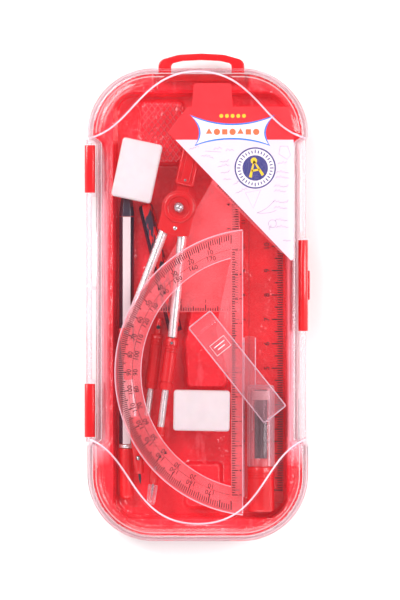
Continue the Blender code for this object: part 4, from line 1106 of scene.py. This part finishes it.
def label_print():
    """A plain label: an outlined plaque, a round badge with dividers, and faint geometry figures."""
    at = span("card_insert")[1][2] + INK_LIFT

    def plaque(grow):
        top_l, top_r = (-3.2 - grow, 77.4 + grow), (31.5 + grow, 77.4 + grow)
        low_l, low_r = (-1.4 - grow, 64.6 - grow), (29.6 + grow, 64.6 - grow)
        top = bezier(top_l, (8, 72.6 + grow), (20, 72.6 + grow), top_r, 20)
        right = bezier(top_r, (26.6 + grow, 72.5), (27.0 + grow, 68.5), low_r, 16)
        low = bezier(low_r, (20, 68.2 - grow), (8, 68.2 - grow), low_l, 20)
        left = bezier(low_l, (1.2 - grow, 68.5), (1.6 - grow, 72.5), top_l, 16)
        return top[:-1] + right[:-1] + low[:-1] + left[:-1]

    for name, grow, lift, mat in (("plaque_edge", 0.0, 0.0, BLUE_INK), ("plaque_face", -0.7, 0.02, WHITE_INK)):
        layer = Print(at + lift)
        layer.polygon(plaque(grow))
        detail(layer.done(name, mat), "card_insert")
    shapes = Print(at + 0.04)
    for i in range(7):
        x = 4.6 + i * 3.2
        corners = (3, 24, 4, 24, 3, 4, 24)[i]
        start = {3: pi / 2, 4: pi / 4, 24: 0.0}[corners]
        size = 1.55 if corners < 24 else 1.3
        shapes.polygon(arc((x, 70.4), size, start, start + 2 * pi * (corners - 1) / corners, corners - 1))
    detail(shapes.done("plaque_shapes", ORANGE_INK), "card_insert")
    dots = Print(at)
    for i in range(5):
        dots.polygon(arc((9.6 + i * 2.3, 76.9), 0.8, 0, 2 * pi * 15 / 16, 15))
    detail(dots.done("heading_dots", YELLOW_INK), "card_insert")

    centre = (23.4, 55.7)
    for name, radius, lift, mat in (("badge", 8.45, 0.0, NAVY_INK), ("badge_ring", 7.85, 0.02, WHITE_INK),
                                    ("badge_core", 5.2, 0.04, NAVY_INK)):
        layer = Print(at + lift)
        layer.polygon(arc(centre, radius, 0, 2 * pi * 63 / 64, 63))
        detail(layer.done(name, mat), "card_insert")
    figure = Print(at + 0.06)
    lean = radians(10)

    def turned_in(x, y):
        return (centre[0] + x * cos(lean) - y * sin(lean), centre[1] + x * sin(lean) + y * cos(lean))

    figure.line([turned_in(-2.6, -3.4), turned_in(0, 2.8), turned_in(2.6, -3.4)], 1.2)
    figure.line([turned_in(-1.7, -0.9), turned_in(1.7, -0.9)], 0.8)
    figure.polygon([turned_in(x, y + 3.0) for x, y in arc((0, 0), 1.3, 0, 2 * pi * 23 / 24, 23)])
    detail(figure.done("badge_figure", YELLOW_INK), "card_insert")
    beads = Print(at + 0.04)
    for i in range(32):
        a = 2 * pi * i / 32
        long = 7.2 if i % 4 else 7.5
        beads.stroke((centre[0] + 6.0 * cos(a), centre[1] + 6.0 * sin(a)),
                     (centre[0] + long * cos(a), centre[1] + long * sin(a)), 0.45)
    detail(beads.done("badge_marks", NAVY_INK), "card_insert")

    faint = Print(at)

    def scribble(x, y, width, turn, height=0.9):
        """A row of small loops and zigzags, like handwriting seen from afar."""
        count = max(3, int(width / 0.55))
        points = []
        for k in range(count):
            rise = height * (0.5 + 0.5 * sin(k * 2.4 + x)) * (1 if k % 2 else -0.4)
            u, v = width * k / (count - 1), rise
            points.append((x + u * cos(turn) - v * sin(turn), y + u * sin(turn) + v * cos(turn)))
        faint.line(points, 0.26)

    for x, y, width, turn in (
        (-3.5, 63.5, 4.0, 0.2), (1.5, 60.8, 5.0, -0.2), (6.5, 63.2, 3.2, 0.1), (11.5, 62.6, 3.2, 0.15),
        (9.0, 58.4, 3.6, 0.0), (8.2, 56.4, 4.6, 0.05), (9.4, 53.8, 3.6, 0.1), (10.5, 50.8, 3.0, 0.2),
        (14.5, 49.2, 4.8, 0.3), (15.4, 45.6, 5.0, 0.3), (32.6, 57.6, 3.6, 0.0), (32.0, 53.9, 5.0, 0.0),
        (31.8, 51.8, 5.2, 0.0), (31.2, 48.2, 5.6, 0.0), (31.2, 46.2, 4.6, 0.0), (30.8, 41.8, 6.0, 0.0),
        (31.2, 39.4, 5.2, 0.0), (31.6, 34.4, 5.0, 0.0), (32.0, 31.6, 4.8, 0.0), (29.4, 30.4, 2.2, 1.4),
        (34.8, 26.2, 3.2, 0.0),
    ):
        scribble(x, y, width, turn)
    faint.line([(19.4, 45.6), (25.6, 46.8), (22.6, 39.2)], 0.22, closed=True)
    faint.line([(33.0, 61.4), (36.4, 59.2), (37.8, 61.0), (36.6, 64.6), (33.6, 64.6)], 0.22, closed=True)
    faint.line(bezier((24.0, 37.4), (28.0, 38.6), (30.0, 41.0), (31.0, 42.4), 10), 0.2)
    faint.line(bezier((24.0, 37.4), (28.0, 37.0), (30.6, 37.6), (32.0, 38.6), 10), 0.2)
    faint.line([(3.0, 62.6), (9.4, 62.2)], 0.2)
    faint.line(arc((30.4, 33.0), 1.6, 0, 2 * pi * 23 / 24, 23), 0.22, closed=True)
    detail(faint.done("faint_figures", PALE_INK), "card_insert")


label_print()


# ---------------------------------------------------------------- erasers

def smooth_eraser(node, centre, size, turn):
    low, high = span(node)
    half_w, half_l = size[0] / 2, size[1] / 2

    def shrink(d):
        return box_outline(-half_w + d, half_w - d, -half_l + d, half_l - d, max(1.3 - d, 0.3), 8)

    rubber = soft_prism(node + "_smooth", shrink, low[2], high[2], 1.0, VINYL, 6)
    place = Matrix.Translation((centre[0] * MM, centre[1] * MM, 0))
    rubber.data.transform(place @ Matrix.Rotation(radians(turn), 4, "Z"))
    return stands_for(rubber, node)


smooth_eraser("eraser_upper", (-24.8, 54.8), (16.5, 24.3), -12)
smooth_eraser("eraser_lower", (1.6, -43.2), (23.0, 16.6), -1)


# ---------------------------------------------------------------- compass

PIVOT = tuple(pivot_of("pivot_screw_turn")[:2])
KNEES = {side: tuple(pivot_of(f"{side}_knee_bend")[:2]) for side in ("left", "right")}
LEG_Z = pivot_of("left_knee_bend")[2]
AXIS_TILT = radians(13.0)
LEG_SPREAD = radians(7.5)
LEG_OFFSET = 2.4
LOWER_TILT = {"left": radians(5.5), "right": radians(-7.5)}
TUBE_END = {"left": 51.2, "right": 53.0}
HEAD_DOWN = (-sin(AXIS_TILT), -cos(AXIS_TILT))
HEAD_RIGHT = (cos(AXIS_TILT), -sin(AXIS_TILT))


def head_point(across, along):
    return (
        PIVOT[0] + HEAD_RIGHT[0] * across + HEAD_DOWN[0] * along,
        PIVOT[1] + HEAD_RIGHT[1] * across + HEAD_DOWN[1] * along,
    )


def leg_axes(side):
    sign = -1 if side == "left" else 1
    a = sign * LEG_SPREAD
    along = (HEAD_DOWN[0] * cos(a) - HEAD_DOWN[1] * sin(a), HEAD_DOWN[0] * sin(a) + HEAD_DOWN[1] * cos(a))
    return along, (-along[1] * sign, along[0] * sign)


def leg_point(side, s, off=LEG_OFFSET):
    along, out = leg_axes(side)
    return (PIVOT[0] + along[0] * s + out[0] * off, PIVOT[1] + along[1] * s + out[1] * off)


def smooth_head():
    top = [(x, -y) for x, y in arc((0, 0), 7.0, radians(200), radians(-20), 64)]
    skirt = [(6.5, 4.6), (6.6, 10.6), (2.4, 11.6), (-2.4, 11.6), (-6.6, 10.2), (-6.5, 4.6)]
    low = span("compass_front_cover")[0]
    front = prism("head_front", [head_point(*p) for p in top + skirt], low[2], low[2] + 1.2, RED)
    ring = [(0, 6.2), (0.9, 6.2), (1.05, 6.12), (1.2, 5.9), (1.2, 4.6), (1.1, 4.4), (0.7, 4.15), (0.7, 0)]
    combine(front, [turned("disc", ring, (*PIVOT, low[2] + 0.9), UP, RED, seg=96)])
    rivet = turned("rivet", [(0, 0.8), (0.35, 0.8), (0.5, 0.6)], (*head_point(0.4, 8.6), low[2] + 1.0), UP,
                   STEEL, seg=24)
    detail(rivet, "compass_front_cover", "steel")
    combine(front, [turned("hole", [(0, 1.5), (12, 1.5)], (*PIVOT, 8), UP, RED)], "DIFFERENCE")
    stands_for(bevelled(front, 0.2), "compass_front_cover")
    low = span("compass_back_cover")[0]
    back = turned("head_back", [(0, 1.5), (0, 6.4), (0.3, 6.7), (1.0, 6.7), (1.0, 1.5)],
                  (*PIVOT, low[2]), UP, RED, hollow=True, seg=96)
    stands_for(back, "compass_back_cover")


def smooth_grip():
    low, high = span("compass_grip")
    tongue = prism("grip_smooth", [head_point(*p) for p in (
        arc((0, 0), 3.4, 0, pi, 24) + [(-2.2, -8.2), (-2.2, -10.5), (2.2, -10.5), (2.2, -8.2)]
    )], 13.0, 13.7, RED)

    def body(d):
        across, top, foot = 3.9 - d, -26.5 + d, -9.2 - d
        return [head_point(*p) for p in rounded([
            (-across, foot, 1.2), (-across, top, 2.2), (across, top, 2.2), (across, foot, 1.2)], 8)]

    combine(tongue, [soft_prism("body", body, low[2], high[2], 0.9, RED)])
    combine(tongue, [turned("hole", [(0, 1.5), (8, 1.5)], (*PIVOT, 10), UP, RED)], "DIFFERENCE")
    cuts = []
    for along in (-23.4, -21.9, -20.4, -13.6, -12.1):
        bar = prism("groove", [head_point(*p) for p in box_outline(-3.1, 3.1, along - 0.3, along + 0.3, 0.2, 3)],
                    high[2] - 0.35, high[2] + 1, RED)
        cuts.append(bar)
    combine(tongue, cuts, "DIFFERENCE")
    stands_for(bevelled(tongue, 0.12), "compass_grip")

    def panel(d):
        return [head_point(*p) for p in box_outline(-1.9 + d, 1.9 - d, -25.4 + d, -10.4 - d, 0.8)]
    detail(soft_prism("grip_panel", panel, high[2] - 0.1, high[2] + 0.35, 0.3, RED), "compass_grip")
    dot = turned("grip_dot", [(0, 0.5), (0.3, 0.5), (0.45, 0.35)], (*head_point(0, -11.4), high[2] + 0.2), (0, 0, 1),
                 STEEL, seg=24)
    detail(dot, "compass_grip", "steel")


def smooth_pivot():
    ball = [(9.0 - 2.15 * cos(pi * i / 24), 2.15 * sin(pi * i / 24)) for i in range(8, 24)]
    screw = turned("pivot_screw_smooth", [(0, 0.9), (0.3, 1.2), (7.8, 1.2)] + ball, (*PIVOT, 8.1), UP, STEEL)
    stands_for(screw, "pivot_screw")


def smooth_leg(side):
    along, _ = leg_axes(side)
    down = (*along, 0)
    start = (*leg_point(side, 0), LEG_Z)
    top, end, r, bore = 9.3, TUBE_END[side], 1.9, 1.3
    tube = turned(f"{side}_tube_smooth", [
        (top, bore), (top, r - 0.15), (top + 0.15, r), (end - 0.15, r), (end, r - 0.15), (end, bore),
    ], start, down, CHROME, hollow=True, seg=64)
    stands_for(tube, f"{side}_leg_tube")

    tilt = LOWER_TILT[side]
    down = (sin(tilt), -cos(tilt), 0)
    knee = KNEES[side]
    at = (*knee, LEG_Z)
    low, high, r = -2.0, 19.3, 2.7
    bands = []
    for s in (low + 3.2, low + 4.4, low + 5.6, high - 3.2):
        bands += [(s - 0.3, r), (s - 0.15, r - 0.35), (s + 0.15, r - 0.35), (s + 0.3, r)]
    sleeve = turned(f"{side}_sleeve_smooth", [(low, r - 0.3), (low + 0.1, r - 0.12), (low + 0.3, r)] + bands
                    + [(high - 0.5, r), (high - 0.15, r - 0.1), (high, r - 0.4)], at, down, RED, seg=64, sharp=60)
    bore = turned("bore", [(high - 9, 1.7), (high + 2, 1.7)], at, down, RED, seg=48)
    across = (cos(tilt), sin(tilt))

    def place(s, off):
        return (knee[0] + down[0] * s + across[0] * off, knee[1] + down[1] * s + across[1] * off)

    slot = prism("slot", [place(-4, -3.5), place(3.0, -3.5), place(3.0, 3.5), place(-4, 3.5)],
                 LEG_Z - 0.8, LEG_Z + 0.8, RED)
    relief = turned("relief", [(-4.5, 2.2), (-0.55, 2.2)], at, down, RED, seg=48)
    pin_hole = turned("pin_hole", [(0, 0.9), (8, 0.9)], (*knee, LEG_Z - 4), UP, RED, seg=32)
    stands_for(combine(sleeve, [bore, slot, relief, pin_hole], "DIFFERENCE"), f"{side}_knee_sleeve")

    rod = turned(f"{side}_rod_smooth", [(high - 8.4, 1.1), (high - 8.1, 1.4), (37.0, 1.4)], at, down, CHROME, seg=48)
    stands_for(rod, f"{side}_lower_rod")
    foot, end = 34.5, 58.0
    ribs = []
    for i in range(5):
        s = foot + 3.0 + i * 1.3
        ribs += [(s - 0.3, 2.18), (s - 0.1, 2.05), (s + 0.1, 2.05), (s + 0.3, 2.18)]
    holder = turned(f"{side}_holder_smooth", [(foot, 1.75), (foot, 2.0), (foot + 0.2, 2.1), (foot + 0.5, 2.15)] + ribs + [
        (foot + 15, 2.2), (end - 3.5, 2.15), (end - 0.3, 1.7), (end, 1.4),
        (end, 0.9), (end - 12, 0.9), (end - 12, 0.5), (foot + 3.2, 0.5), (foot + 3.2, 1.75),
    ], at, down, RED, hollow=True, seg=64, sharp=60)
    screw_at = place(end - 6.5, 0)
    combine(holder, [turned("hole", [(0, 0.9), (4, 0.9)], (*screw_at, LEG_Z + 0.4), UP, RED, seg=32)],
            "DIFFERENCE")
    stands_for(holder, f"{side}_tip_holder")
    if side == "right":
        cap = turned("needle_cap_smooth", [
            (end + 0.4, 0.9), (end + 0.4, 1.65), (end + 0.5, 1.85), (end + 0.8, 1.95), (end + 7.2, 1.72),
            (end + 8.1, 1.45), (end + 8.6, 1.0), (end + 8.6, 0.4), (end + 7.4, 0.4), (end + 6.8, 0.9),
        ], at, down, CLEAR_SMALL, hollow=True, seg=48)
        stands_for(cap, "needle_cap")
        needle = turned("needle_smooth", [(end - 10, 0.5), (end + 3.0, 0.5), (end + 6.4, 0.08)], at, down,
                        STEEL, seg=32)
        stands_for(needle, "needle")
    else:
        lead = turned("lead_smooth", [(end - 10, 0.55), (end + 2.0, 0.55), (end + 4.0, 0.15)], at, down,
                      GRAPHITE, seg=32)
        stands_for(lead, "compass_lead")


smooth_head()
smooth_grip()
smooth_pivot()
smooth_leg("left")
smooth_leg("right")


# ---------------------------------------------------------------- pencils, extension bar, leads

DOWN = (0, -1, 0)


def faceted(name, sections, centre, along, mats, edge=0.35, foil=()):
    """A hexagonal stick with a flat side up and softened corners; foil lists the facets in material 1."""
    across = (-along[1], along[0])
    rings = []
    for s, r in sections:
        corners = rounded([(r * cos(pi * i / 3), r * sin(pi * i / 3), edge * r / 3) for i in range(6)], 3)
        rings.append([
            (centre[0] + along[0] * s + across[0] * u, centre[1] + along[1] * s + across[1] * u, centre[2] + v)
            for u, v in corners
        ])
    made = rings_solid(name, rings, mats, sharp=25)
    for face in made.data.polygons:
        facing = atan2(face.normal.z, face.normal.x * across[0] + face.normal.y * across[1])
        if round((facing - pi / 6) / (pi / 3)) % 6 in foil:
            face.material_index = 1
    return made


def stick(node):
    """The axis X and Z, the radius and the two ends in Y of a node that lies along Y."""
    low, high = span(node)
    return (low[0] + high[0]) / 2, (low[2] + high[2]) / 2, (high[0] - low[0]) / 2, low[1], high[1]


def smooth_pencil():
    x, z, r, foot, top = stick("pencil_barrel")
    barrel = faceted("barrel_smooth", [(0, r), (top - foot, r)], (x, top, z), (0, -1), [LACQUER, FOIL], foil=(1,))
    stands_for(barrel, "pencil_barrel")
    end_top = span("pencil_dipped_end")[1][1]
    dip = faceted("dipped_smooth", [
        (0, r * 0.36), (0.25, r * 0.48), (0.8, r * 0.66), (3.6, r * 0.86), (7.8, r), (end_top - top - 0.3, r),
    ], (x, end_top, z), (0, -1), [LACQUER, FOIL])
    stands_for(dip, "pencil_dipped_end")
    start = (x, foot - 0.3, z)
    ferrule = turned("ferrule_smooth", [
        (0, 2.2), (0, 3.0), (0.2, 3.15), (0.5, 3.15), (0.6, 3.05), (0.7, 3.15), (1.1, 3.15), (1.3, 3.0), (1.3, 2.2),
    ], start, DOWN, CHROME, hollow=True, seg=48)
    stands_for(ferrule, "pencil_ferrule")
    point = turned("point_smooth", [(0, 1.9), (4.2, 1.9), (13.5, 0.5), (15.5, 0.25)], start, DOWN, WOOD, seg=48)
    stands_for(point, "pencil_point")
    cap_r = 3.2
    cap = turned("cap_smooth", [
        (1.6, 2.5), (1.6, cap_r - 0.15), (1.75, cap_r - 0.03), (1.9, cap_r), (4.0, cap_r), (4.15, cap_r - 0.12),
        (4.3, cap_r), (15, cap_r - 0.15), (20.8, cap_r - 0.3), (21.7, cap_r - 0.6), (22.3, cap_r - 1.3),
        (22.6, cap_r - 2.2), (18.0, 0.9), (5.0, 2.5),
    ], start, DOWN, RED, hollow=True, seg=64)
    stands_for(cap, "pencil_cap")


def smooth_spare_pencil():
    top, foot = Vector((-21.6, 41.2)), Vector((-9.2, -11.0))
    along = (foot - top).normalized()
    r = 3.0
    length = (foot - top).length
    z = 2.6 + r * sin(pi / 3)
    pencil = faceted("spare_smooth", [
        (0, r * 0.6), (0.35, r * 0.82), (0.9, r * 0.94), (1.6, r), (length - 0.3, r), (length, r * 0.9),
    ], (top.x, top.y, z), along, [LACQUER, MARBLED], foil=(0, 1))
    stands_for(pencil, "spare_pencil")


def smooth_extension():
    at = (-15.7, -5.6, 5.45)
    tilt = radians(7.0)
    down = (-sin(tilt), -cos(tilt), 0)
    ribs = []
    for s in (8.4, 9.6, 10.8, 26.6):
        ribs += [(s - 0.2, 2.55), (s - 0.08, 2.4), (s + 0.08, 2.4), (s + 0.2, 2.55)]
    socket = turned("socket_smooth", [(0, 1.0), (0.15, 1.25), (0.4, 1.4), (6.2, 1.4), (6.7, 2.2), (7.0, 2.5)] + ribs + [
        (28.4, 2.55), (28.8, 2.45), (29.0, 2.2), (29.0, 1.6), (20.0, 1.6)], at, down, RED, seg=64, sharp=50)
    stands_for(socket, "extension_socket")
    rod = turned("extension_rod_smooth", [(20.5, 1.0), (20.8, 1.3), (40.0, 1.3), (40.4, 0.9)], at, down, CHROME, seg=48)
    stands_for(rod, "extension_rod")
    stud = turned("neck_stud", [(0, 0.85), (0.3, 0.85), (0.45, 0.6)],
                  (at[0] + down[0] * 3.6, at[1] + down[1] * 3.6, at[2] + 1.2), UP, GRAPHITE, seg=24)
    detail(stud, "extension_socket", "graphite")


def smooth_lead_tube():
    x, z, r, foot, top = stick("lead_tube")
    length = top - foot
    start = (x, top, z)
    tube = turned("lead_tube_smooth", [
        (0, 1.5), (0, r - 1.4), (0.15, r - 0.75), (0.5, r - 0.25), (1.2, r), (length - 0.2, r), (length, r - 0.2),
        (length, r - 0.8), (1.4, r - 0.8), (0.9, r - 1.4), (0.8, 1.5),
    ], start, DOWN, CLEAR_SMALL, hollow=True, seg=96)
    stands_for(tube, "lead_tube")
    lead_r = 0.95
    leads = []
    for ring, count in ((0.0, 1), (lead_r * 2, 6)):
        for i in range(count):
            a = 2 * pi * i / count + pi / 6
            skew = 0.35 * ((i * 5) % 7) / 7
            leads.append(turned("lead", [
                (1.9 + skew, 0.7), (2.1 + skew, lead_r), (length + 2.0, lead_r), (length + 2.2, 0.7),
            ], (x + ring * cos(a), top, z + ring * sin(a)), DOWN, GRAPHITE, seg=28))
    bundle = joined("leads_smooth", leads, GRAPHITE)
    stands_for(bundle, "lead_bundle")
    band = turned("band_smooth", [(2.4, 3.15), (2.4, 3.45), (2.5, 3.5), (6.0, 3.5), (6.1, 3.45), (6.1, 3.15)],
                  start, DOWN, PAPER, hollow=True, seg=64)
    stands_for(band, "lead_band")
    grooves = []
    for i in range(3):
        s = 2.6 + i * 1.1
        grooves += [(s - 0.2, r), (s - 0.1, r - 0.15), (s + 0.1, r - 0.15), (s + 0.2, r)]
    stop = turned("stopper_smooth", [
        (-3.2, 3.3), (-3.2, 4.2), (-2.9, 4.4), (0.3, 4.4), (0.3, r - 0.3), (0.4, r - 0.1), (0.6, r)] + grooves + [
        (17.6, r), (18.2, r - 0.2), (18.5, r - 0.5), (18.6, r - 0.9), (18.6, 0.9), (4.0, 0.9), (4.0, 3.3),
    ], (x, foot, z), DOWN, RED, hollow=True, seg=96, sharp=50)
    stands_for(stop, "lead_tube_stopper")


def joined(name, parts, mat):
    """Several pieces in metres become one."""
    bm = bmesh.new()
    for part in parts:
        bm.from_mesh(part.data)
        bpy.data.objects.remove(part)
    bmesh.ops.scale(bm, vec=(1 / MM, 1 / MM, 1 / MM), verts=bm.verts)
    return finish_mesh(name, bm, mat)


def smooth_lead_case():
    """The flat clear box of spare leads and its short cap."""
    low, high = span("lead_case_body")
    z0, z1 = low[2], high[2]
    half, length, cap_l, gap = 5.9, 50.0, 4.6, 0.3
    turn = radians(90 - 51.5)
    corner = ((0.9 - 0.6 * sin(turn)) * MM, (-6.2 + 0.6 * cos(turn)) * MM, 0)
    spot = Matrix.Translation(corner) @ Matrix.Rotation(turn, 4, "Z")

    def shell(name, y0, y1, open_low):
        def outer(d):
            return box_outline(-half + d, half - d, y0 + d, y1 - d, max(0.9 - d, 0.15), 6)
        body = soft_prism(name, outer, z0, z1, 0.5, CLEAR_SMALL, 4)
        reach = (y0 - 5, y1 - 0.9) if open_low else (y0 + 0.9, y1 + 5)
        hollow = prism("hollow", box_outline(-half + 0.8, half - 0.8, *reach, 0.4, 4), z0 + 0.8, z1 - 0.8, CLEAR_SMALL)
        return combine(body, [hollow], "DIFFERENCE")

    cap = shell("lead_case_cap_smooth", -cap_l, 0.0, True)
    body = shell("lead_case_body_smooth", -length, -cap_l - gap, False)
    for piece in (cap, body):
        piece.data.transform(spot)
    stands_for(cap, "lead_case_cap")
    stands_for(body, "lead_case_body")
    layer = Print(z1 + INK_LIFT)
    layer.line([(-3.6, -11.5), (3.6, -11.5), (3.6, -16.5), (-3.6, -16.5)], 0.22, closed=True)
    for i, w in enumerate((2.6, 1.8)):
        layer.stroke((-w, -13.2 - i * 1.5), (w, -13.2 - i * 1.5), 0.4)
    # Painted highlight: a bright bead round the body's top edge.
    rim = [(x, y, z1 - 0.1) for x, y in box_outline(-half + 0.3, half - 0.3, -length + 0.3, -0.3, 0.8, 6)]
    edge = bead_along("lead_case_edge", rim, 0.24, EDGE_HIGHLIGHT, closed=True, seg=8)
    edge.data.transform(spot)
    detail(edge, "lead_case_body")
    marks = layer.done("lead_case_mark", WHITE_INK)
    marks.data.transform(spot)
    detail(marks, "lead_case_body")


smooth_pencil()
smooth_spare_pencil()
smooth_extension()
smooth_lead_tube()
smooth_lead_case()


# ---------------------------------------------------------------- CAD pieces that stay as they are

KEPT = {
    "card_insert": CARD, "pivot_nut": STEEL,
    **{f"{side}_{piece}": STEEL for side in ("left", "right")
       for piece in ("leg_bracket", "knee_tongue", "knee_pin", "tip_screw")},
}
for node, mat in KEPT.items():
    data = frame["nodes"][node].data
    data.materials.clear()
    data.materials.append(mat)


# ---------------------------------------------------------------- camera, light and floor

VIEW_CENTRE = (0.92 * MM, 1.94 * MM)
DISTANCE = 2.5
FOCUS_Z = 15.0
camera_data = bpy.data.cameras.new("camera")
camera_data.lens = 147.0 * DISTANCE
camera_data.sensor_width = 36.0
camera = bpy.data.objects.new("camera", camera_data)
camera.location = (*VIEW_CENTRE, DISTANCE + FOCUS_Z * MM)
bpy.context.scene.collection.objects.link(camera)
bpy.context.scene.camera = camera


def area_light(name, place, aim, size, power, colour=(1, 1, 1)):
    data = bpy.data.lights.new(name, "AREA")
    data.shape = "RECTANGLE"
    data.size, data.size_y = size
    data.energy = power
    data.color = colour
    lamp = bpy.data.objects.new(name, data)
    lamp.location = place
    lamp.rotation_euler = (Vector(aim) - Vector(place)).to_track_quat("-Z", "Y").to_euler()
    bpy.context.scene.collection.objects.link(lamp)
    return lamp


area_light("key", (-0.45, 0.45, 0.7), (0, 0, 0), (0.5, 0.35), 7.4)
area_light("fill", (0.6, 0.1, 0.6), (0, 0, 0), (0.3, 0.6), 4.3)
area_light("low_front", (0.0, -0.6, 0.45), (0, 0, 0), (0.6, 0.2), 2.0)

world = bpy.data.worlds.new("studio")
bpy.context.scene.world = world
world.use_nodes = True
world.node_tree.nodes["Background"].inputs["Color"].default_value = (1, 1, 1, 1)
OVERHEAD_DARK, SIDES_BRIGHT = 0.3, 1.0
sky = world.node_tree.nodes
direction = sky.new("ShaderNodeTexCoord")
split = sky.new("ShaderNodeSeparateXYZ")
fade = sky.new("ShaderNodeMapRange")
for socket, value in (("From Min", 0.82), ("From Max", 0.96), ("To Min", SIDES_BRIGHT), ("To Max", OVERHEAD_DARK)):
    fade.inputs[socket].default_value = value
world.node_tree.links.new(direction.outputs["Generated"], split.inputs[0])
world.node_tree.links.new(split.outputs["Z"], fade.inputs["Value"])
world.node_tree.links.new(fade.outputs["Result"], sky["Background"].inputs["Strength"])

FLOOR_REACH, FLOOR_Z_BELOW = 4000.0, -0.05
floor_mesh = bmesh.new()
for across, along in ((-1, -1), (1, -1), (1, 1), (-1, 1)):
    floor_mesh.verts.new((across * FLOOR_REACH, along * FLOOR_REACH, FLOOR_Z_BELOW))
floor_mesh.faces.new(floor_mesh.verts)
finish_mesh("backdrop", floor_mesh, floor_paper())

scene = bpy.context.scene
scene.view_settings.view_transform = "Standard"
scene.cycles.transparent_max_bounces = 32
